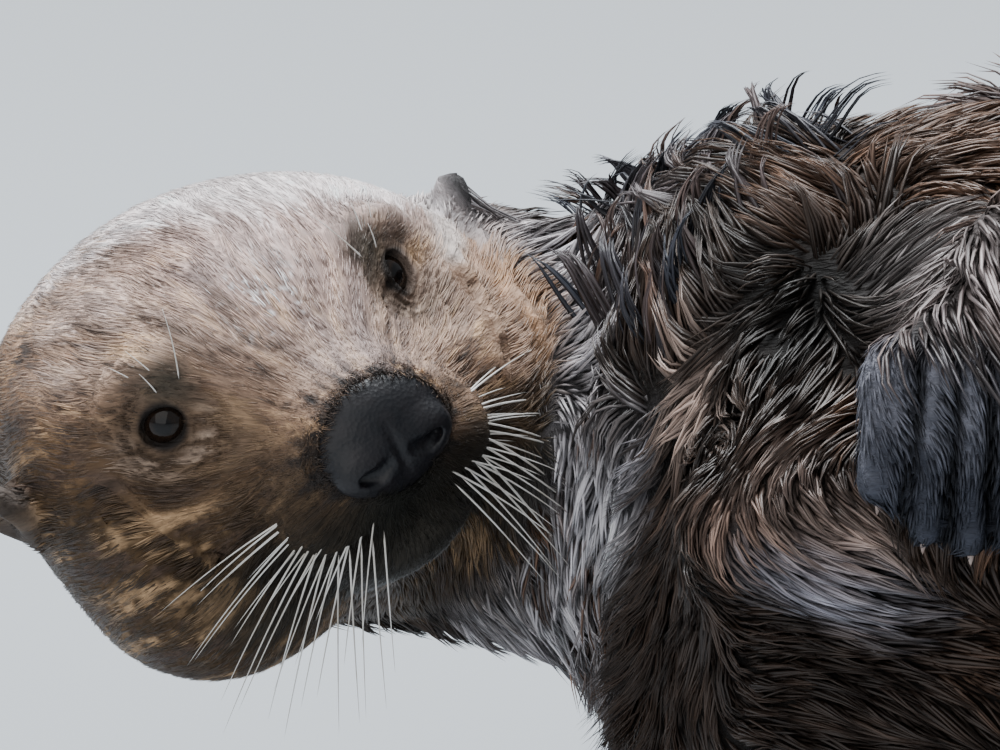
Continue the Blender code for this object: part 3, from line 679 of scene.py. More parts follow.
def head_markings(points, local):
    """Pale crown, partly painted sheen; gold-flecked brown cheeks; dark hair by the nose; painted shade
    round the eyes, under the brows, under the muzzle and chin and low on the head; painted glints on the
    forehead; cream fold of the cheek.
    """
    left, up, ahead = local.T
    flow = flow_of(local)
    fine, patch = mottle(flow, 0.0030, 1), mottle(flow, 0.0075, 2)
    broad = mottle(flow, 0.020, 3)
    # The height is measured upwards in the world, so this ramp also paints light on the upper head and
    # shade on the lower.
    height = (points[:, 2] - HEAD.z) / CM + 0.07 * ahead + broad * 0.6 + patch * 0.45
    stops, shades = zip(*HEAD_TONES_AND_LIGHT_BY_HEIGHT)
    colour = np.stack([np.interp(height, stops, [s[i] for s in shades]) for i in range(3)], axis=1)
    golden = ease(patch * 1.5 + fine * 1.1 - 0.25) * ease((6.2 - height) / 3)
    colour = mixed(colour, (0.560, 0.360, 0.200), golden * np.interp(height, (0, 3), (0.42, 0.72)))
    dark = ease(-patch * 1.4 - fine * 1.3 - 0.20) * ease((6.0 - height) / 3)
    colour = mixed(colour, (0.120, 0.078, 0.060), dark * 0.74)
    grey = ease(mottle(flow, 0.012, 9) * 1.6 + fine * 0.8 - 0.2) * ease((height - 1.5) / 2)
    colour = mixed(colour, (0.190, 0.145, 0.140), grey * 0.62)
    grain = mottle(flow, 0.0016, 14)
    colour = colour * (1 + 0.36 * patch + 0.32 * fine + 0.24 * grain)[:, None]
    # Paler towards the crown's upper edge: partly the crown's own pale fur, partly painted sheen where the
    # wet crown faces up to the lamps.
    pale = ease((up + 0.62 * left - 0.5 * ahead - 3.9) / 1.9 + patch * 0.45 + broad * 0.25)
    pale = pale * ease((ahead + 6.0) / 3.5)
    colour = mixed(colour, (0.860, 0.780, 0.770), pale * 0.82)
    temple = near_place(local, (-3.6, 4.2, 0.6), 3.0) * ease(0.65 + patch)
    colour = mixed(colour, (0.760, 0.600, 0.540), temple * 0.75)
    # Painted highlight: white glints of wet on the middle of the forehead.
    painted_glints = near_place(local, (0.0, 3.3, 4.8), 1.9) * ease(mottle(points, 0.0016, 10) * 3.0 - 0.7)
    colour = mixed(colour, (0.950, 0.950, 0.970), painted_glints)
    for nape in ((-1.2, 5.8, -2.1), (-2.9, 5.3, -3.6)):
        colour = mixed(colour, (0.33, 0.20, 0.11), near_place(local, nape, 1.1) * ease(0.7 + fine * 1.5))
    bridge = near_place(local, (0.5, 0.3, 6.0), 2.1)
    colour = mixed(colour, (0.480, 0.370, 0.345), bridge * 0.75)
    muzzle = ease(sum(near_place(local, place, reach) for place, reach in MUZZLE_DARK))
    for place, reach in MUZZLE_BROWN:
        brown = near_place(local, place, reach) * ease(0.8 + patch * 0.6)
        colour = mixed(colour, (0.120, 0.080, 0.052), brown * 0.80)
    colour = mixed(colour, (0.030, 0.021, 0.013), muzzle * (0.90 + 0.10 * patch))
    rim = nose_outline(local) + 0.22 * patch + 0.15 * fine
    colour = mixed(colour, (0.026, 0.022, 0.021), ease(1 - rim / 0.42) * 0.92)
    # Painted shade under the front of the muzzle, low on the head.
    low = ease((-up - 1.6) / 1.6) * ease((ahead - 3.0) / 2.0)
    colour = mixed(colour, (0.018, 0.015, 0.011), low * 0.9)
    below = near_place(local, (-0.4, -3.3, 7.2), 1.9)
    colour = mixed(colour, (0.020, 0.020, 0.016), below * 0.9)
    left_pad = near_place(local, (2.6, -1.3, 6.7), 1.3)
    colour = mixed(colour, (0.085, 0.045, 0.022), left_pad * 0.8)
    for side in (-1, 1):
        out = np.array(eye_frame(side)[0]) + np.array(eye_frame(side)[1].col[0]) * 0.9
        away = local - out
        reach = np.linalg.norm(away, axis=1)
        # A darker ring round each eye: painted shade of the socket and the brow.
        colour = mixed(colour, (0.085, 0.057, 0.038), ease(1 - (reach - 0.8) / 2.1) * 0.85)
        lower = ease(0.5 - away[:, 1] * 0.8) * ease(1 - np.abs(reach - 1.25) / 0.6)
        colour = mixed(colour, (0.46, 0.34, 0.26), lower * ease(0.50 + fine * 1.5) * 0.65)
        # Painted shadow under the brow ridge.
        brow_shadow = near_place(local, (side * 3.35, 2.55, 3.75), 1.25)
        colour = mixed(colour, (0.052, 0.047, 0.036), brow_shadow * 0.80)
        colour = mixed(colour, (0.020, 0.016, 0.014), ease(1 - (reach - 0.58) / 0.22))
    left_temple = near_place(local, (5.0, 1.0, 2.9), 1.5)
    colour = mixed(colour, (0.560, 0.410, 0.330), left_temple * 0.85)
    golden_spot = near_place(local, (4.78, 1.51, 2.94), 0.6)
    colour = mixed(colour, (0.440, 0.255, 0.110), golden_spot * 0.65)
    fold = chain(np.abs(local) * (1, 0, 0) + local * (0, 1, 1), CHEEK_FOLD, (0.3,) * 5)
    fold = ease(1 - fold / 0.30) * np.where(left > 0, 0.80, 0.0)
    colour = mixed(colour, (0.400, 0.265, 0.190), fold)
    under_ear = chain(local, ((7.3, 1.4, -1.0), (6.4, 1.3, 1.4), (5.9, 1.0, 2.9)), (0.5, 0.35, 0.2))
    colour = mixed(colour, (0.56, 0.50, 0.47), ease(1 - under_ear / 0.45) * 0.75)
    behind = ease((left - 5.5) / 0.8) * ease((1.2 - up) / 1.4)
    colour = mixed(colour, (0.360, 0.200, 0.105), behind * (0.70 + 0.30 * patch))
    # Painted shade under the chin, on the underside of the head.
    chin = ease((-up - 3.4) / 1.4) * ease((ahead - 2.5) / 2)
    return mixed(colour, (0.040, 0.036, 0.030), chin * 0.85)


COAT_PATCHES_AND_PAINTED_SHADE = (  # place on the chest and the near arm, colour, reach, share
    # painted shade in the gap between the neck and the standing locks
    ((0.036, 0.003, 0.203), (0.018, 0.020, 0.028), 0.024, 0.95),
    ((0.050, 0.000, 0.226), (0.280, 0.250, 0.265), 0.024, 0.85),
    # painted shade on the dark mound and in the deep shadow below the arm
    ((0.062, -0.045, 0.219), (0.020, 0.014, 0.010), 0.026, 0.90),
    ((0.078, -0.074, 0.212), (0.008, 0.007, 0.005), 0.026, 0.95),
    ((0.076, -0.020, 0.237), (0.150, 0.080, 0.048), 0.016, 0.60),
    ((0.108, -0.030, 0.243), (0.100, 0.062, 0.045), 0.026, 0.70),
    ((0.130, -0.018, 0.247), (0.280, 0.155, 0.100), 0.026, 0.80),
    ((0.114, -0.082, 0.224), (0.850, 0.780, 0.770), 0.034, 0.94),
    ((0.122, -0.140, 0.240), (0.400, 0.340, 0.330), 0.034, 0.80),
    ((0.050, -0.066, 0.187), (0.820, 0.600, 0.500), 0.019, 0.95),
    ((0.078, -0.108, 0.184), (0.380, 0.265, 0.220), 0.022, 0.85),
    ((0.058, -0.112, 0.166), (0.480, 0.310, 0.240), 0.018, 0.90),
    ((0.080, -0.127, 0.161), (0.820, 0.600, 0.510), 0.024, 0.90),
    ((0.068, -0.124, 0.146), (0.580, 0.570, 0.660), 0.022, 0.95),
    ((0.092, -0.128, 0.140), (0.450, 0.430, 0.480), 0.022, 0.85),
    # painted shade in the chest's hollow and in the crease where the locks part
    ((0.059, -0.084, 0.188), (0.007, 0.006, 0.005), 0.017, 1.00),
    ((0.087, -0.060, 0.227), (0.012, 0.009, 0.008), 0.015, 0.95),
    ((0.027, -0.028, 0.150), (0.850, 0.820, 0.860), 0.030, 0.92),
    ((0.038, -0.048, 0.166), (0.500, 0.480, 0.520), 0.016, 0.85),
)


DARK_BROWN, RUSSET_BROWN = (0.040, 0.025, 0.018), (0.160, 0.088, 0.055)
NECK_GREY, NECK_RUSSET = (0.740, 0.700, 0.730), (0.400, 0.190, 0.100)
# The left ear lies on the upper side and is painted paler than the lower right one: painted light and
# shade on one ear colour.
UPPER_LEFT_EAR_LIT, LOWER_RIGHT_EAR_SHADED, EAR_EDGE = (0.300, 0.275, 0.280), (0.070, 0.056, 0.048), (0.060, 0.048, 0.042)
SLATE, PALE_SLATE = (0.044, 0.048, 0.064), (0.150, 0.150, 0.178)


def markings_and_painted_light(points):
    """Colour of the coat at each point: brown trunk, grey neck, chest patches, head, slate paws, with
    painted shade in the chest's creases, hollows and gaps, between the fingers and on the lower ear, and
    painted light on the head and the upper ear.
    """
    local = to_head(points)
    left = local[:, 0]
    fine, broad = mottle(points, 0.004, 4), mottle(points, 0.017, 5)
    x, y, z = points.T
    russet = ease(0.30 + broad * 0.9 + (x - 0.09) * 6 + (z - 0.22) * 5)
    body = mixed(np.tile(DARK_BROWN, (len(points), 1)), RUSSET_BROWN, russet)
    neck = ease(1.7 * (1 - np.abs(x - 0.004) / 0.031)) * ease((0.070 - y) / 0.030)
    bands = mottle(points * (1.0, 1.0, 2.2), 0.009, 8)
    body = mixed(body, NECK_GREY, neck * ease(0.60 + bands * 0.9) * 0.97)
    body = mixed(body, NECK_RUSSET, neck * ease(-bands * 1.6 - 0.35) * 0.85)
    broken = ease(0.9 + broad * 0.4 + fine * 0.3)
    for place, tint, reach, share in COAT_PATCHES_AND_PAINTED_SHADE:
        body = mixed(body, tint, near_place(points, place, reach) * share * broken)
    # Painted shade in the creases and hollows of the chest, darkest where the coat folds deepest.
    hollow = ease(relief(points) / 0.008)
    body = mixed(body, (0.006, 0.005, 0.004), hollow * 0.92)
    nape = ease((x + 0.026) / 0.038) * ease((y - 0.020) / 0.030)
    colour = mixed(body, head_markings(points, local), on_head(points) * (1 - nape))
    ears = on_ears(points)
    # Ears: the upper left one painted lit, the lower right one painted in shade.
    colour = mixed(colour, np.where(left[:, None] > 0, UPPER_LEFT_EAR_LIT, LOWER_RIGHT_EAR_SHADED), ears * 0.9)
    rim = ease((np.abs(left) - 8.30) / 0.20)
    colour = mixed(colour, EAR_EDGE, ears * rim * 0.9)
    upper_paw = ease((z - 0.180) / 0.03 + fine * 0.3)
    slate = mixed(np.tile(SLATE, (len(points), 1)), PALE_SLATE, upper_paw)
    # Painted shade in the furrows between the fingers.
    slate = slate * (1 - 0.85 * digit_gaps(points))[:, None]
    colour = mixed(colour, slate, short_coated(points))
    shade = 1 + 0.22 * fine + 0.10 * mottle(points, 0.0018, 7)
    return np.clip(colour * shade[:, None], 0.006, 0.82)


WET_PLACES = (  # place, reach
    ((0.030, -0.035, 0.155), 0.035),
    ((0.075, -0.126, 0.146), 0.030),
    ((0.116, -0.100, 0.232), 0.045),
    ((0.034, 0.000, 0.200), 0.025),
    ((-0.060, -0.030, 0.200), 0.060),
)


def shine_of(points):
    """How wet the coat shines: most on neck, low chest and the curls by the paw, least on the mound."""
    wet = ease(1 - np.abs(points[:, 0] - 0.010) / 0.030) * 0.9
    for place, reach in WET_PLACES:
        wet = np.maximum(wet, near_place(points, place, reach))
    dull = near_place(points, (0.076, -0.070, 0.212), 0.035)
    return (wet + 0.30 * (1 - wet)) * (1 - dull)


def lie_of(points):
    """Which way the hair lies: back from the nose on the head, tailward and down on the body."""
    local = to_head(points)
    head = (local - HAIR_START) @ AXES.T
    head /= np.linalg.norm(head, axis=1, keepdims=True)
    way = np.zeros_like(points)
    way[:, 0] = 1
    way[:, 1] = np.sign(points[:, 1]) * 0.25
    way[:, 2] = -0.45
    for side in (-1, 1):
        wrist, knuckles = wrist_and_knuckles(side)
        elbow, shoulder = mirrored(ELBOW, side), mirrored(SHOULDER, side)
        hip, knee, heel = (mirrored(place, side) for place in (HIP, KNEE, HEEL))
        lengths = (
            (shoulder, elbow, 0.045),
            (elbow, wrist, 0.040),
            (wrist, knuckles - Vector((0, 0, 0.05)), 0.035),
            (hip, knee, 0.070),
            (knee, heel, 0.045),
            (heel, heel + mirrored(FLIPPER_AIM, side) * 0.2, 0.04),
        )
        for start, end, reach in lengths:
            near = ease(1.6 - limb(points, start, end, 0, 0) / reach)
            aim = np.array((end - start).normalized())
            way = way + (aim - way) * near[:, None]
    tail = ease((points[:, 0] - 0.86) / 0.03) * ease(1 - (np.abs(points[:, 1]) - 0.05) / 0.02)
    way = way + (np.array((1, 0, 0)) - way) * tail[:, None]
    way = way + (head - way) * on_head(points)[:, None]
    return way / np.maximum(np.linalg.norm(way, axis=1, keepdims=True), 1e-6)


def mesh_piece(name, vertices, faces, smooth=True):
    """An object from vertices in body coordinates and an array of equal-sided faces."""
    data = bpy.data.meshes.new(name)
    faces = np.asarray(faces)
    data.vertices.add(len(vertices))
    data.vertices.foreach_set("co", (np.asarray(vertices) + SHIFT).astype(np.float32).ravel())
    data.loops.add(faces.size)
    data.loops.foreach_set("vertex_index", faces.astype(np.int32).ravel())
    data.polygons.add(len(faces))
    data.polygons.foreach_set("loop_start", np.arange(0, faces.size, faces.shape[1], dtype=np.int32))
    data.polygons.foreach_set("use_smooth", np.full(len(faces), smooth))
    data.update(calc_edges=True)
    made = bpy.data.objects.new(name, data)
    bpy.context.scene.collection.objects.link(made)
    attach(made, "root")
    return made


def colour_attribute(made, name, colours):
    """A colour for every vertex, under the name that the material reads."""
    layer = made.data.attributes.new(name, "FLOAT_COLOR", "POINT")
    colours = np.column_stack([colours, np.ones(len(colours))])
    layer.data.foreach_set("color", colours.astype(np.float32).ravel())


def value_attribute(made, name, values):
    """A number for every vertex, under the name that the material reads."""
    layer = made.data.attributes.new(name, "FLOAT", "POINT")
    layer.data.foreach_set("value", np.asarray(values, np.float32).ravel())


def vector_attribute(made, name, values):
    """A vector for every vertex, under the name that the material reads."""
    layer = made.data.attributes.new(name, "FLOAT_VECTOR", "POINT")
    layer.data.foreach_set("vector", np.asarray(values, np.float32).ravel())


class Nodes:
    """A material's or a group's nodes, added and joined in one line each."""

    def __init__(self, tree):
        """Keeps the tree that the nodes go into."""
        self.tree = tree

    def add(self, kind, **sockets):
        """A new node, each named socket joined to the output given for it or set to the value."""
        made = self.tree.nodes.new(kind)
        for key, value in sockets.items():
            key = key.replace("_", " ")
            if hasattr(value, "is_output"):
                self.tree.links.new(value, made.inputs[key])
            else:
                made.inputs[key].default_value = value
        return made

    def join(self, start, end):
        """Links an output to an input."""
        self.tree.links.new(start, end)


def new_material(name):
    """A material whose nodes are to be added, with its Principled shader."""
    made = bpy.data.materials.new(name)
    made.use_nodes = True
    return made, Nodes(made.node_tree), made.node_tree.nodes["Principled BSDF"]


def attribute(nodes, name, output):
    """The output that reads one of the mesh's attributes."""
    found = nodes.tree.nodes.new("ShaderNodeAttribute")
    found.attribute_name = name
    return found.outputs[output]


def hair_grain_group():
    """Fine lines along the hair: noise that is short across the hair's lie and long along it."""
    group = bpy.data.node_groups.new("hair grain", "ShaderNodeTree")
    group.interface.new_socket("Across", in_out="INPUT", socket_type="NodeSocketVector")
    for name in ("Along", "Fineness"):
        group.interface.new_socket(name, in_out="INPUT", socket_type="NodeSocketFloat")
    for name in ("Lines", "Clumps"):
        group.interface.new_socket(name, in_out="OUTPUT", socket_type="NodeSocketFloat")
    nodes = Nodes(group)
    given = group.nodes.new("NodeGroupInput")
    out = group.nodes.new("NodeGroupOutput")
    for name, share, stretch, detail in (("Lines", 1.0, 90.0, 3.0), ("Clumps", 0.24, 45.0, 2.0)):
        scale = nodes.add("ShaderNodeMath")
        scale.operation = "MULTIPLY"
        nodes.join(given.outputs["Fineness"], scale.inputs[0])
        scale.inputs[1].default_value = share
        wide = nodes.add("ShaderNodeVectorMath")
        wide.operation = "SCALE"
        nodes.join(given.outputs["Across"], wide.inputs[0])
        nodes.join(scale.outputs[0], wide.inputs["Scale"])
        long = nodes.add("ShaderNodeMath")
        long.operation = "MULTIPLY"
        nodes.join(given.outputs["Along"], long.inputs[0])
        long.inputs[1].default_value = stretch
        noise = nodes.add("ShaderNodeTexNoise")
        noise.noise_dimensions = "4D"
        noise.inputs["Scale"].default_value = 1.0
        noise.inputs["Detail"].default_value = detail
        nodes.join(wide.outputs[0], noise.inputs["Vector"])
        nodes.join(long.outputs[0], noise.inputs["W"])
        nodes.join(noise.outputs["Fac"], out.inputs[name])
    return group


HAIR_GRAIN = hair_grain_group()


def multiplied(nodes, colour, factor, low, high):
    """A colour made darker and lighter by a factor that runs from 0 to 1."""
    ramp = nodes.add("ShaderNodeMapRange", Value=factor)
    ramp.inputs["From Min"].default_value = 0.25
    ramp.inputs["From Max"].default_value = 0.75
    ramp.inputs["To Min"].default_value = low
    ramp.inputs["To Max"].default_value = high
    scaled = nodes.add("ShaderNodeVectorMath")
    scaled.operation = "SCALE"
    nodes.join(colour, scaled.inputs[0])
    nodes.join(ramp.outputs[0], scaled.inputs["Scale"])
    return scaled.outputs[0]


def coat_material(name, fineness, raised, roughness, wet, gloss):
    """Damp fur: its colour with painted light and shade, broken by hair lines that also raise the surface,
    and a wet gloss.
    """
    made, nodes, shader = new_material(name)
    grain = nodes.tree.nodes.new("ShaderNodeGroup")
    grain.node_tree = HAIR_GRAIN
    grain.inputs["Fineness"].default_value = fineness
    nodes.join(attribute(nodes, "across", "Vector"), grain.inputs["Across"])
    nodes.join(attribute(nodes, "along", "Fac"), grain.inputs["Along"])
    colour = attribute(nodes, "markings_and_painted_light", "Color")
    colour = multiplied(nodes, colour, grain.outputs["Lines"], 0.70, 1.35)
    colour = multiplied(nodes, colour, grain.outputs["Clumps"], 0.75, 1.25)
    nodes.join(colour, shader.inputs["Base Color"])
    fine = nodes.add("ShaderNodeBump", Height=grain.outputs["Lines"])
    fine.inputs["Distance"].default_value = raised
    fine.inputs["Strength"].default_value = 0.8
    broad = nodes.add("ShaderNodeBump", Height=grain.outputs["Clumps"], Normal=fine.outputs[0])
    broad.inputs["Distance"].default_value = raised * 2.5
    broad.inputs["Strength"].default_value = 0.7
    nodes.join(broad.outputs[0], shader.inputs["Normal"])
    shine = nodes.add("ShaderNodeMapRange", Value=attribute(nodes, "shine", "Fac"))
    shine.inputs["To Min"].default_value = roughness + 0.14
    shine.inputs["To Max"].default_value = roughness - 0.08
    nodes.join(shine.outputs["Result"], shader.inputs["Roughness"])
    film = nodes.add("ShaderNodeMapRange", Value=attribute(nodes, "shine", "Fac"))
    film.inputs["To Min"].default_value = 0.0
    film.inputs["To Max"].default_value = wet * 1.4
    nodes.join(film.outputs["Result"], shader.inputs["Coat Weight"])
    shader.inputs["Coat Roughness"].default_value = 0.22
    shader.inputs["Specular IOR Level"].default_value = gloss
    return made


def lie_coordinates(points):
    """Where a point is across the hair and along it: round the nose on the head, else along X."""
    local = to_head(points) - HAIR_START
    distance = np.linalg.norm(local, axis=1)
    head = local / distance[:, None] * 0.085
    share = on_head(points)
    across = points * (0.0, 1.0, 1.0)
    across = across + (head - across) * share[:, None]
    along = points[:, 0] + (distance * CM - points[:, 0]) * share
    return across, along


def grid_of(mesh):
    """Vertices and triangles of a bmesh as arrays."""
    bmesh.ops.triangulate(mesh, faces=mesh.faces)
    mesh.verts.index_update()
    faces = np.array([[vertex.index for vertex in face.verts] for face in mesh.faces])
    return places_of(mesh.verts), faces


skin_points, skin_faces = grid_of(skin_mesh)
skin_mesh.free()
skin = mesh_piece("skin", skin_points, skin_faces)
long_coat = (1 - on_head(skin_points)) * (1 - short_coated(skin_points))
value_attribute(skin, "shine", shine_of(skin_points))
# Under the long coat the skin is painted far darker: painted shade beneath the locks, showing where they
# part.
colour_attribute(skin, "markings_and_painted_light", markings_and_painted_light(skin_points) * (1 - 0.88 * long_coat[:, None]))
across, along = lie_coordinates(skin_points)
vector_attribute(skin, "across", across)
value_attribute(skin, "along", along)
skin.data.materials.append(coat_material("short damp fur", 1500.0, 0.0012, 0.60, 0.03, 0.15))
flesh = ["head", "muzzle", "lower_jaw", "neck", "chest", "belly", "rump"]
flesh += ["tail_root", "tail_tip", "ear_right", "ear_left"]
flesh += [
    part + "_" + side
    for side in ("right", "left")
    for part in ("upper_arm", "forearm", "forepaw", "thigh", "shank", "hind_flipper")
]
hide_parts(*flesh)


# ---- eyes --------------------------------------------------------------------------------------
# Each eyeball is a dark brown ball, wet with tears, whose clear front bulges a little between the
# lids. It sits in a well of the skin, and the lid rims close round it.

EYE_RADIUS = 0.0085


def eyeball(side, rows=40, columns=64):
    """A ball about its look direction, raised by a low cap in front: r (1 + 0.05 ease(cap))."""
    middle, axes = eye_frame(side)
    out, across_eye, up = (AXES @ np.array(axes.col[i]) for i in range(3))
    middle = in_head(middle)
    from_front = np.linspace(0, math.pi, rows + 1)[1:-1]
    cap = np.clip(1 - from_front / 0.75, 0, 1)
    radius = EYE_RADIUS * (1 + 0.05 * ease(cap))
    turn = np.arange(columns) * math.tau / columns
    ring = np.cos(turn)[:, None] * across_eye + np.sin(turn)[:, None] * up
    points = (
        middle
        + (radius * np.cos(from_front))[:, None, None] * out
        + (radius * np.sin(from_front))[:, None, None] * ring[None]
    ).reshape(-1, 3)
    front = middle + out * EYE_RADIUS * 1.05
    back = middle - out * EYE_RADIUS
    here = np.arange(rows - 2)[:, None] * columns + np.arange(columns)[None]
    nxt = np.arange(rows - 2)[:, None] * columns + (np.arange(columns)[None] + 1) % columns
    quads = np.stack([here, here + columns, nxt + columns, nxt], axis=-1).reshape(-1, 4)
    first, last = len(points), len(points) + 1
    c = np.arange(columns)
    front_fan = np.stack([np.full(columns, first), c, (c + 1) % columns], axis=-1)
    end = (rows - 2) * columns
    back_fan = np.stack([np.full(columns, last), end + (c + 1) % columns, end + c], axis=-1)
    tris = np.concatenate([quads[:, (0, 1, 2)], quads[:, (0, 2, 3)], front_fan, back_fan])
    depth = np.concatenate([np.repeat(from_front, columns), (0, math.pi)])
    return np.concatenate([points, [front, back]]), tris, depth


def eye_material():
    """A black pupil in a very dark brown iris, under a wet clear gloss."""
    made, nodes, shader = new_material("wet dark eye")
    shader.inputs["Specular IOR Level"].default_value = 0.26
    ramp = nodes.add("ShaderNodeValToRGB", Fac=attribute(nodes, "depth", "Fac"))
    ramp.color_ramp.elements[0].position = 0.24
    ramp.color_ramp.elements[0].color = (0.004, 0.003, 0.003, 1)
    ramp.color_ramp.elements[1].position = 0.36
    ramp.color_ramp.elements[1].color = (0.014, 0.008, 0.005, 1)
    rim = ramp.color_ramp.elements.new(0.80)
    rim.color = (0.012, 0.008, 0.006, 1)
    streaks = nodes.add("ShaderNodeTexNoise")
    streaks.inputs["Scale"].default_value = 900.0
    shade = multiplied(nodes, ramp.outputs["Color"], streaks.outputs["Fac"], 0.6, 1.4)
    coords = nodes.add("ShaderNodeTexCoord")
    nodes.join(coords.outputs["Object"], streaks.inputs["Vector"])
    nodes.join(shade, shader.inputs["Base Color"])
    shader.inputs["Roughness"].default_value = 0.09
    shader.inputs["Coat Weight"].default_value = 0.05
    shader.inputs["Coat Roughness"].default_value = 0.06
    return made


EYE_PAINT = eye_material()
for side, name in ((-1, "right"), (1, "left")):
    points, tris, depth = eyeball(side)
    ball = mesh_piece("eyeball_" + name, points, tris)
    value_attribute(ball, "depth", depth)
    ball.data.materials.append(EYE_PAINT)
    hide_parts("eye_" + name)


# ---- nose --------------------------------------------------------------------------------------
# The bare nose is a broad shield of damp, blue-black leather with comma-shaped nostrils and a
# pebbled surface. It covers the end of the muzzle, where the skin beneath it is sunk.


def clouded(nodes, shader, scale, low, high):
    """Colours the shader by soft noise between two stops, each a place on the ramp and a colour."""
    coords = nodes.add("ShaderNodeTexCoord").outputs["Object"]
    cloud = nodes.add("ShaderNodeTexNoise", Vector=coords, Scale=scale)
    tint = nodes.add("ShaderNodeValToRGB", Fac=cloud.outputs["Fac"])
    for stop, (position, colour) in zip(tint.color_ramp.elements, (low, high)):
        stop.position = position
        stop.color = (*colour, 1)
    nodes.join(tint.outputs["Color"], shader.inputs["Base Color"])


def nose_form(points):
    """The pad's field in metres: the head's own form within the outline, winged, with nostrils cut in."""
    local = to_head(points)
    form = -blend(-head_form(points, False) / CM - 0.06, -nose_outline(local), 0.16)
    form = carve(form, limb(local, (0, -0.9, 8.2), (0, -3.0, 7.9), 0.07, 0.12), 0.22)
    for side in (-1, 1):
        wing = ellipsoid(local, (side * 0.95, -1.70, 7.62), (0.85, 0.62, 0.42))
        form = blend(form, wing, 0.35)
        nostril = ((0.46, -1.90, 8.1), (0.84, -2.02, 8.0), (1.22, -1.88, 7.8), (1.58, -1.45, 7.6))
        places = [(side * x, y, z) for x, y, z in nostril]
        form = carve(form, chain(local, places, (0.20, 0.25, 0.17, 0.06)), 0.16)
    return form * CM


nose_places = in_head([
    (x, y, z) for x in (-2.3, 2.3) for y in (-3.2, 0.8) for z in (5.9, 8.5)
])
nose_lattice = Lattice(nose_form, nose_places.min(axis=0), nose_places.max(axis=0), 0.0007, 4)
nose_mesh = closed_mesh(nose_lattice, 0.0)
nose_points, nose_faces = grid_of(nose_mesh)
nose_mesh.free()
nose_points = settled(nose_points, nose_form, 0.0006, 2)
nose = mesh_piece("nose", nose_points, nose_faces)
made, nodes, shader = new_material("damp nose leather")
coords = nodes.add("ShaderNodeTexCoord").outputs["Object"]
cells = nodes.add("ShaderNodeTexVoronoi", Vector=coords, Scale=900.0)
clouded(nodes, shader, 160.0, (0.35, (0.0045, 0.0050, 0.0075)), (0.75, (0.013, 0.011, 0.013)))
pebbles = nodes.add("ShaderNodeBump", Height=cells.outputs["Distance"])
pebbles.inputs["Distance"].default_value = 0.0004
pebbles.inputs["Strength"].default_value = 0.28
nodes.join(pebbles.outputs[0], shader.inputs["Normal"])
shader.inputs["Roughness"].default_value = 0.45
shader.inputs["Specular IOR Level"].default_value = 0.42
nose.data.materials.append(made)
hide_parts("nose_pad")


# ---- claws -------------------------------------------------------------------------------------
# Short claws of dull, pinkish-grey horn, one in the end of each finger and toe. Each starts inside
# its toe, and tapers and bends as it comes out.


def swept(centres, radii, columns, across_hint):
    """Tapered tubes along centre lines (tube, ring, 3), closed by their first and last points."""
    tubes, rings = centres.shape[:2]
    along = np.gradient(centres, axis=1)
    along /= np.maximum(np.linalg.norm(along, axis=2, keepdims=True), 1e-9)
    across = np.cross(along, across_hint[:, None, :])
    across /= np.maximum(np.linalg.norm(across, axis=2, keepdims=True), 1e-9)
    up = np.cross(along, across)
    turn = np.arange(columns) * math.tau / columns
    circle = np.cos(turn)[:, None] * across[:, 1:-1, None] + np.sin(turn)[:, None] * up[:, 1:-1, None]
    body = centres[:, 1:-1, None] + circle * radii[:, 1:-1, None, None]
    points = np.concatenate([centres[:, :1], body.reshape(tubes, -1, 3), centres[:, -1:]], axis=1)
    c = np.arange(columns)
    after = (c + 1) % columns
    faces = [np.stack([np.zeros_like(c), 1 + after, 1 + c], axis=1)]
    for ring in range(rings - 3):
        low, high = 1 + ring * columns, 1 + (ring + 1) * columns
        faces.append(np.stack([low + c, low + after, high + c], axis=1))
        faces.append(np.stack([low + after, high + after, high + c], axis=1))
    last = 1 + (rings - 3) * columns
    faces.append(np.stack([last + c, last + after, np.full_like(c, last + columns)], axis=1))
    faces = np.concatenate(faces)
    each = points.shape[1]
    faces = faces[None] + (np.arange(tubes) * each)[:, None, None]
    return points.reshape(-1, 3), faces.reshape(-1, 3)


def claw_lines(tips, aims, bend, length, radius):
    """Centre lines and radii of claws that start in the toe and curve towards the bend."""
    share = np.linspace(0, 1, 12)
    lines, widths = [], []
    for tip, aim in zip(tips, aims):
        along = np.array(aim)
        start = np.array(tip) - along * length * 0.45
        straight = along * (share[:, None] * length * 1.25)
        hook = np.array(bend) * (share[:, None] ** 2) * length * 0.45
        lines.append(start + straight + hook)
        widths.append(radius * (1 - share**1.6) ** 0.8)
    return np.array(lines), np.array(widths)


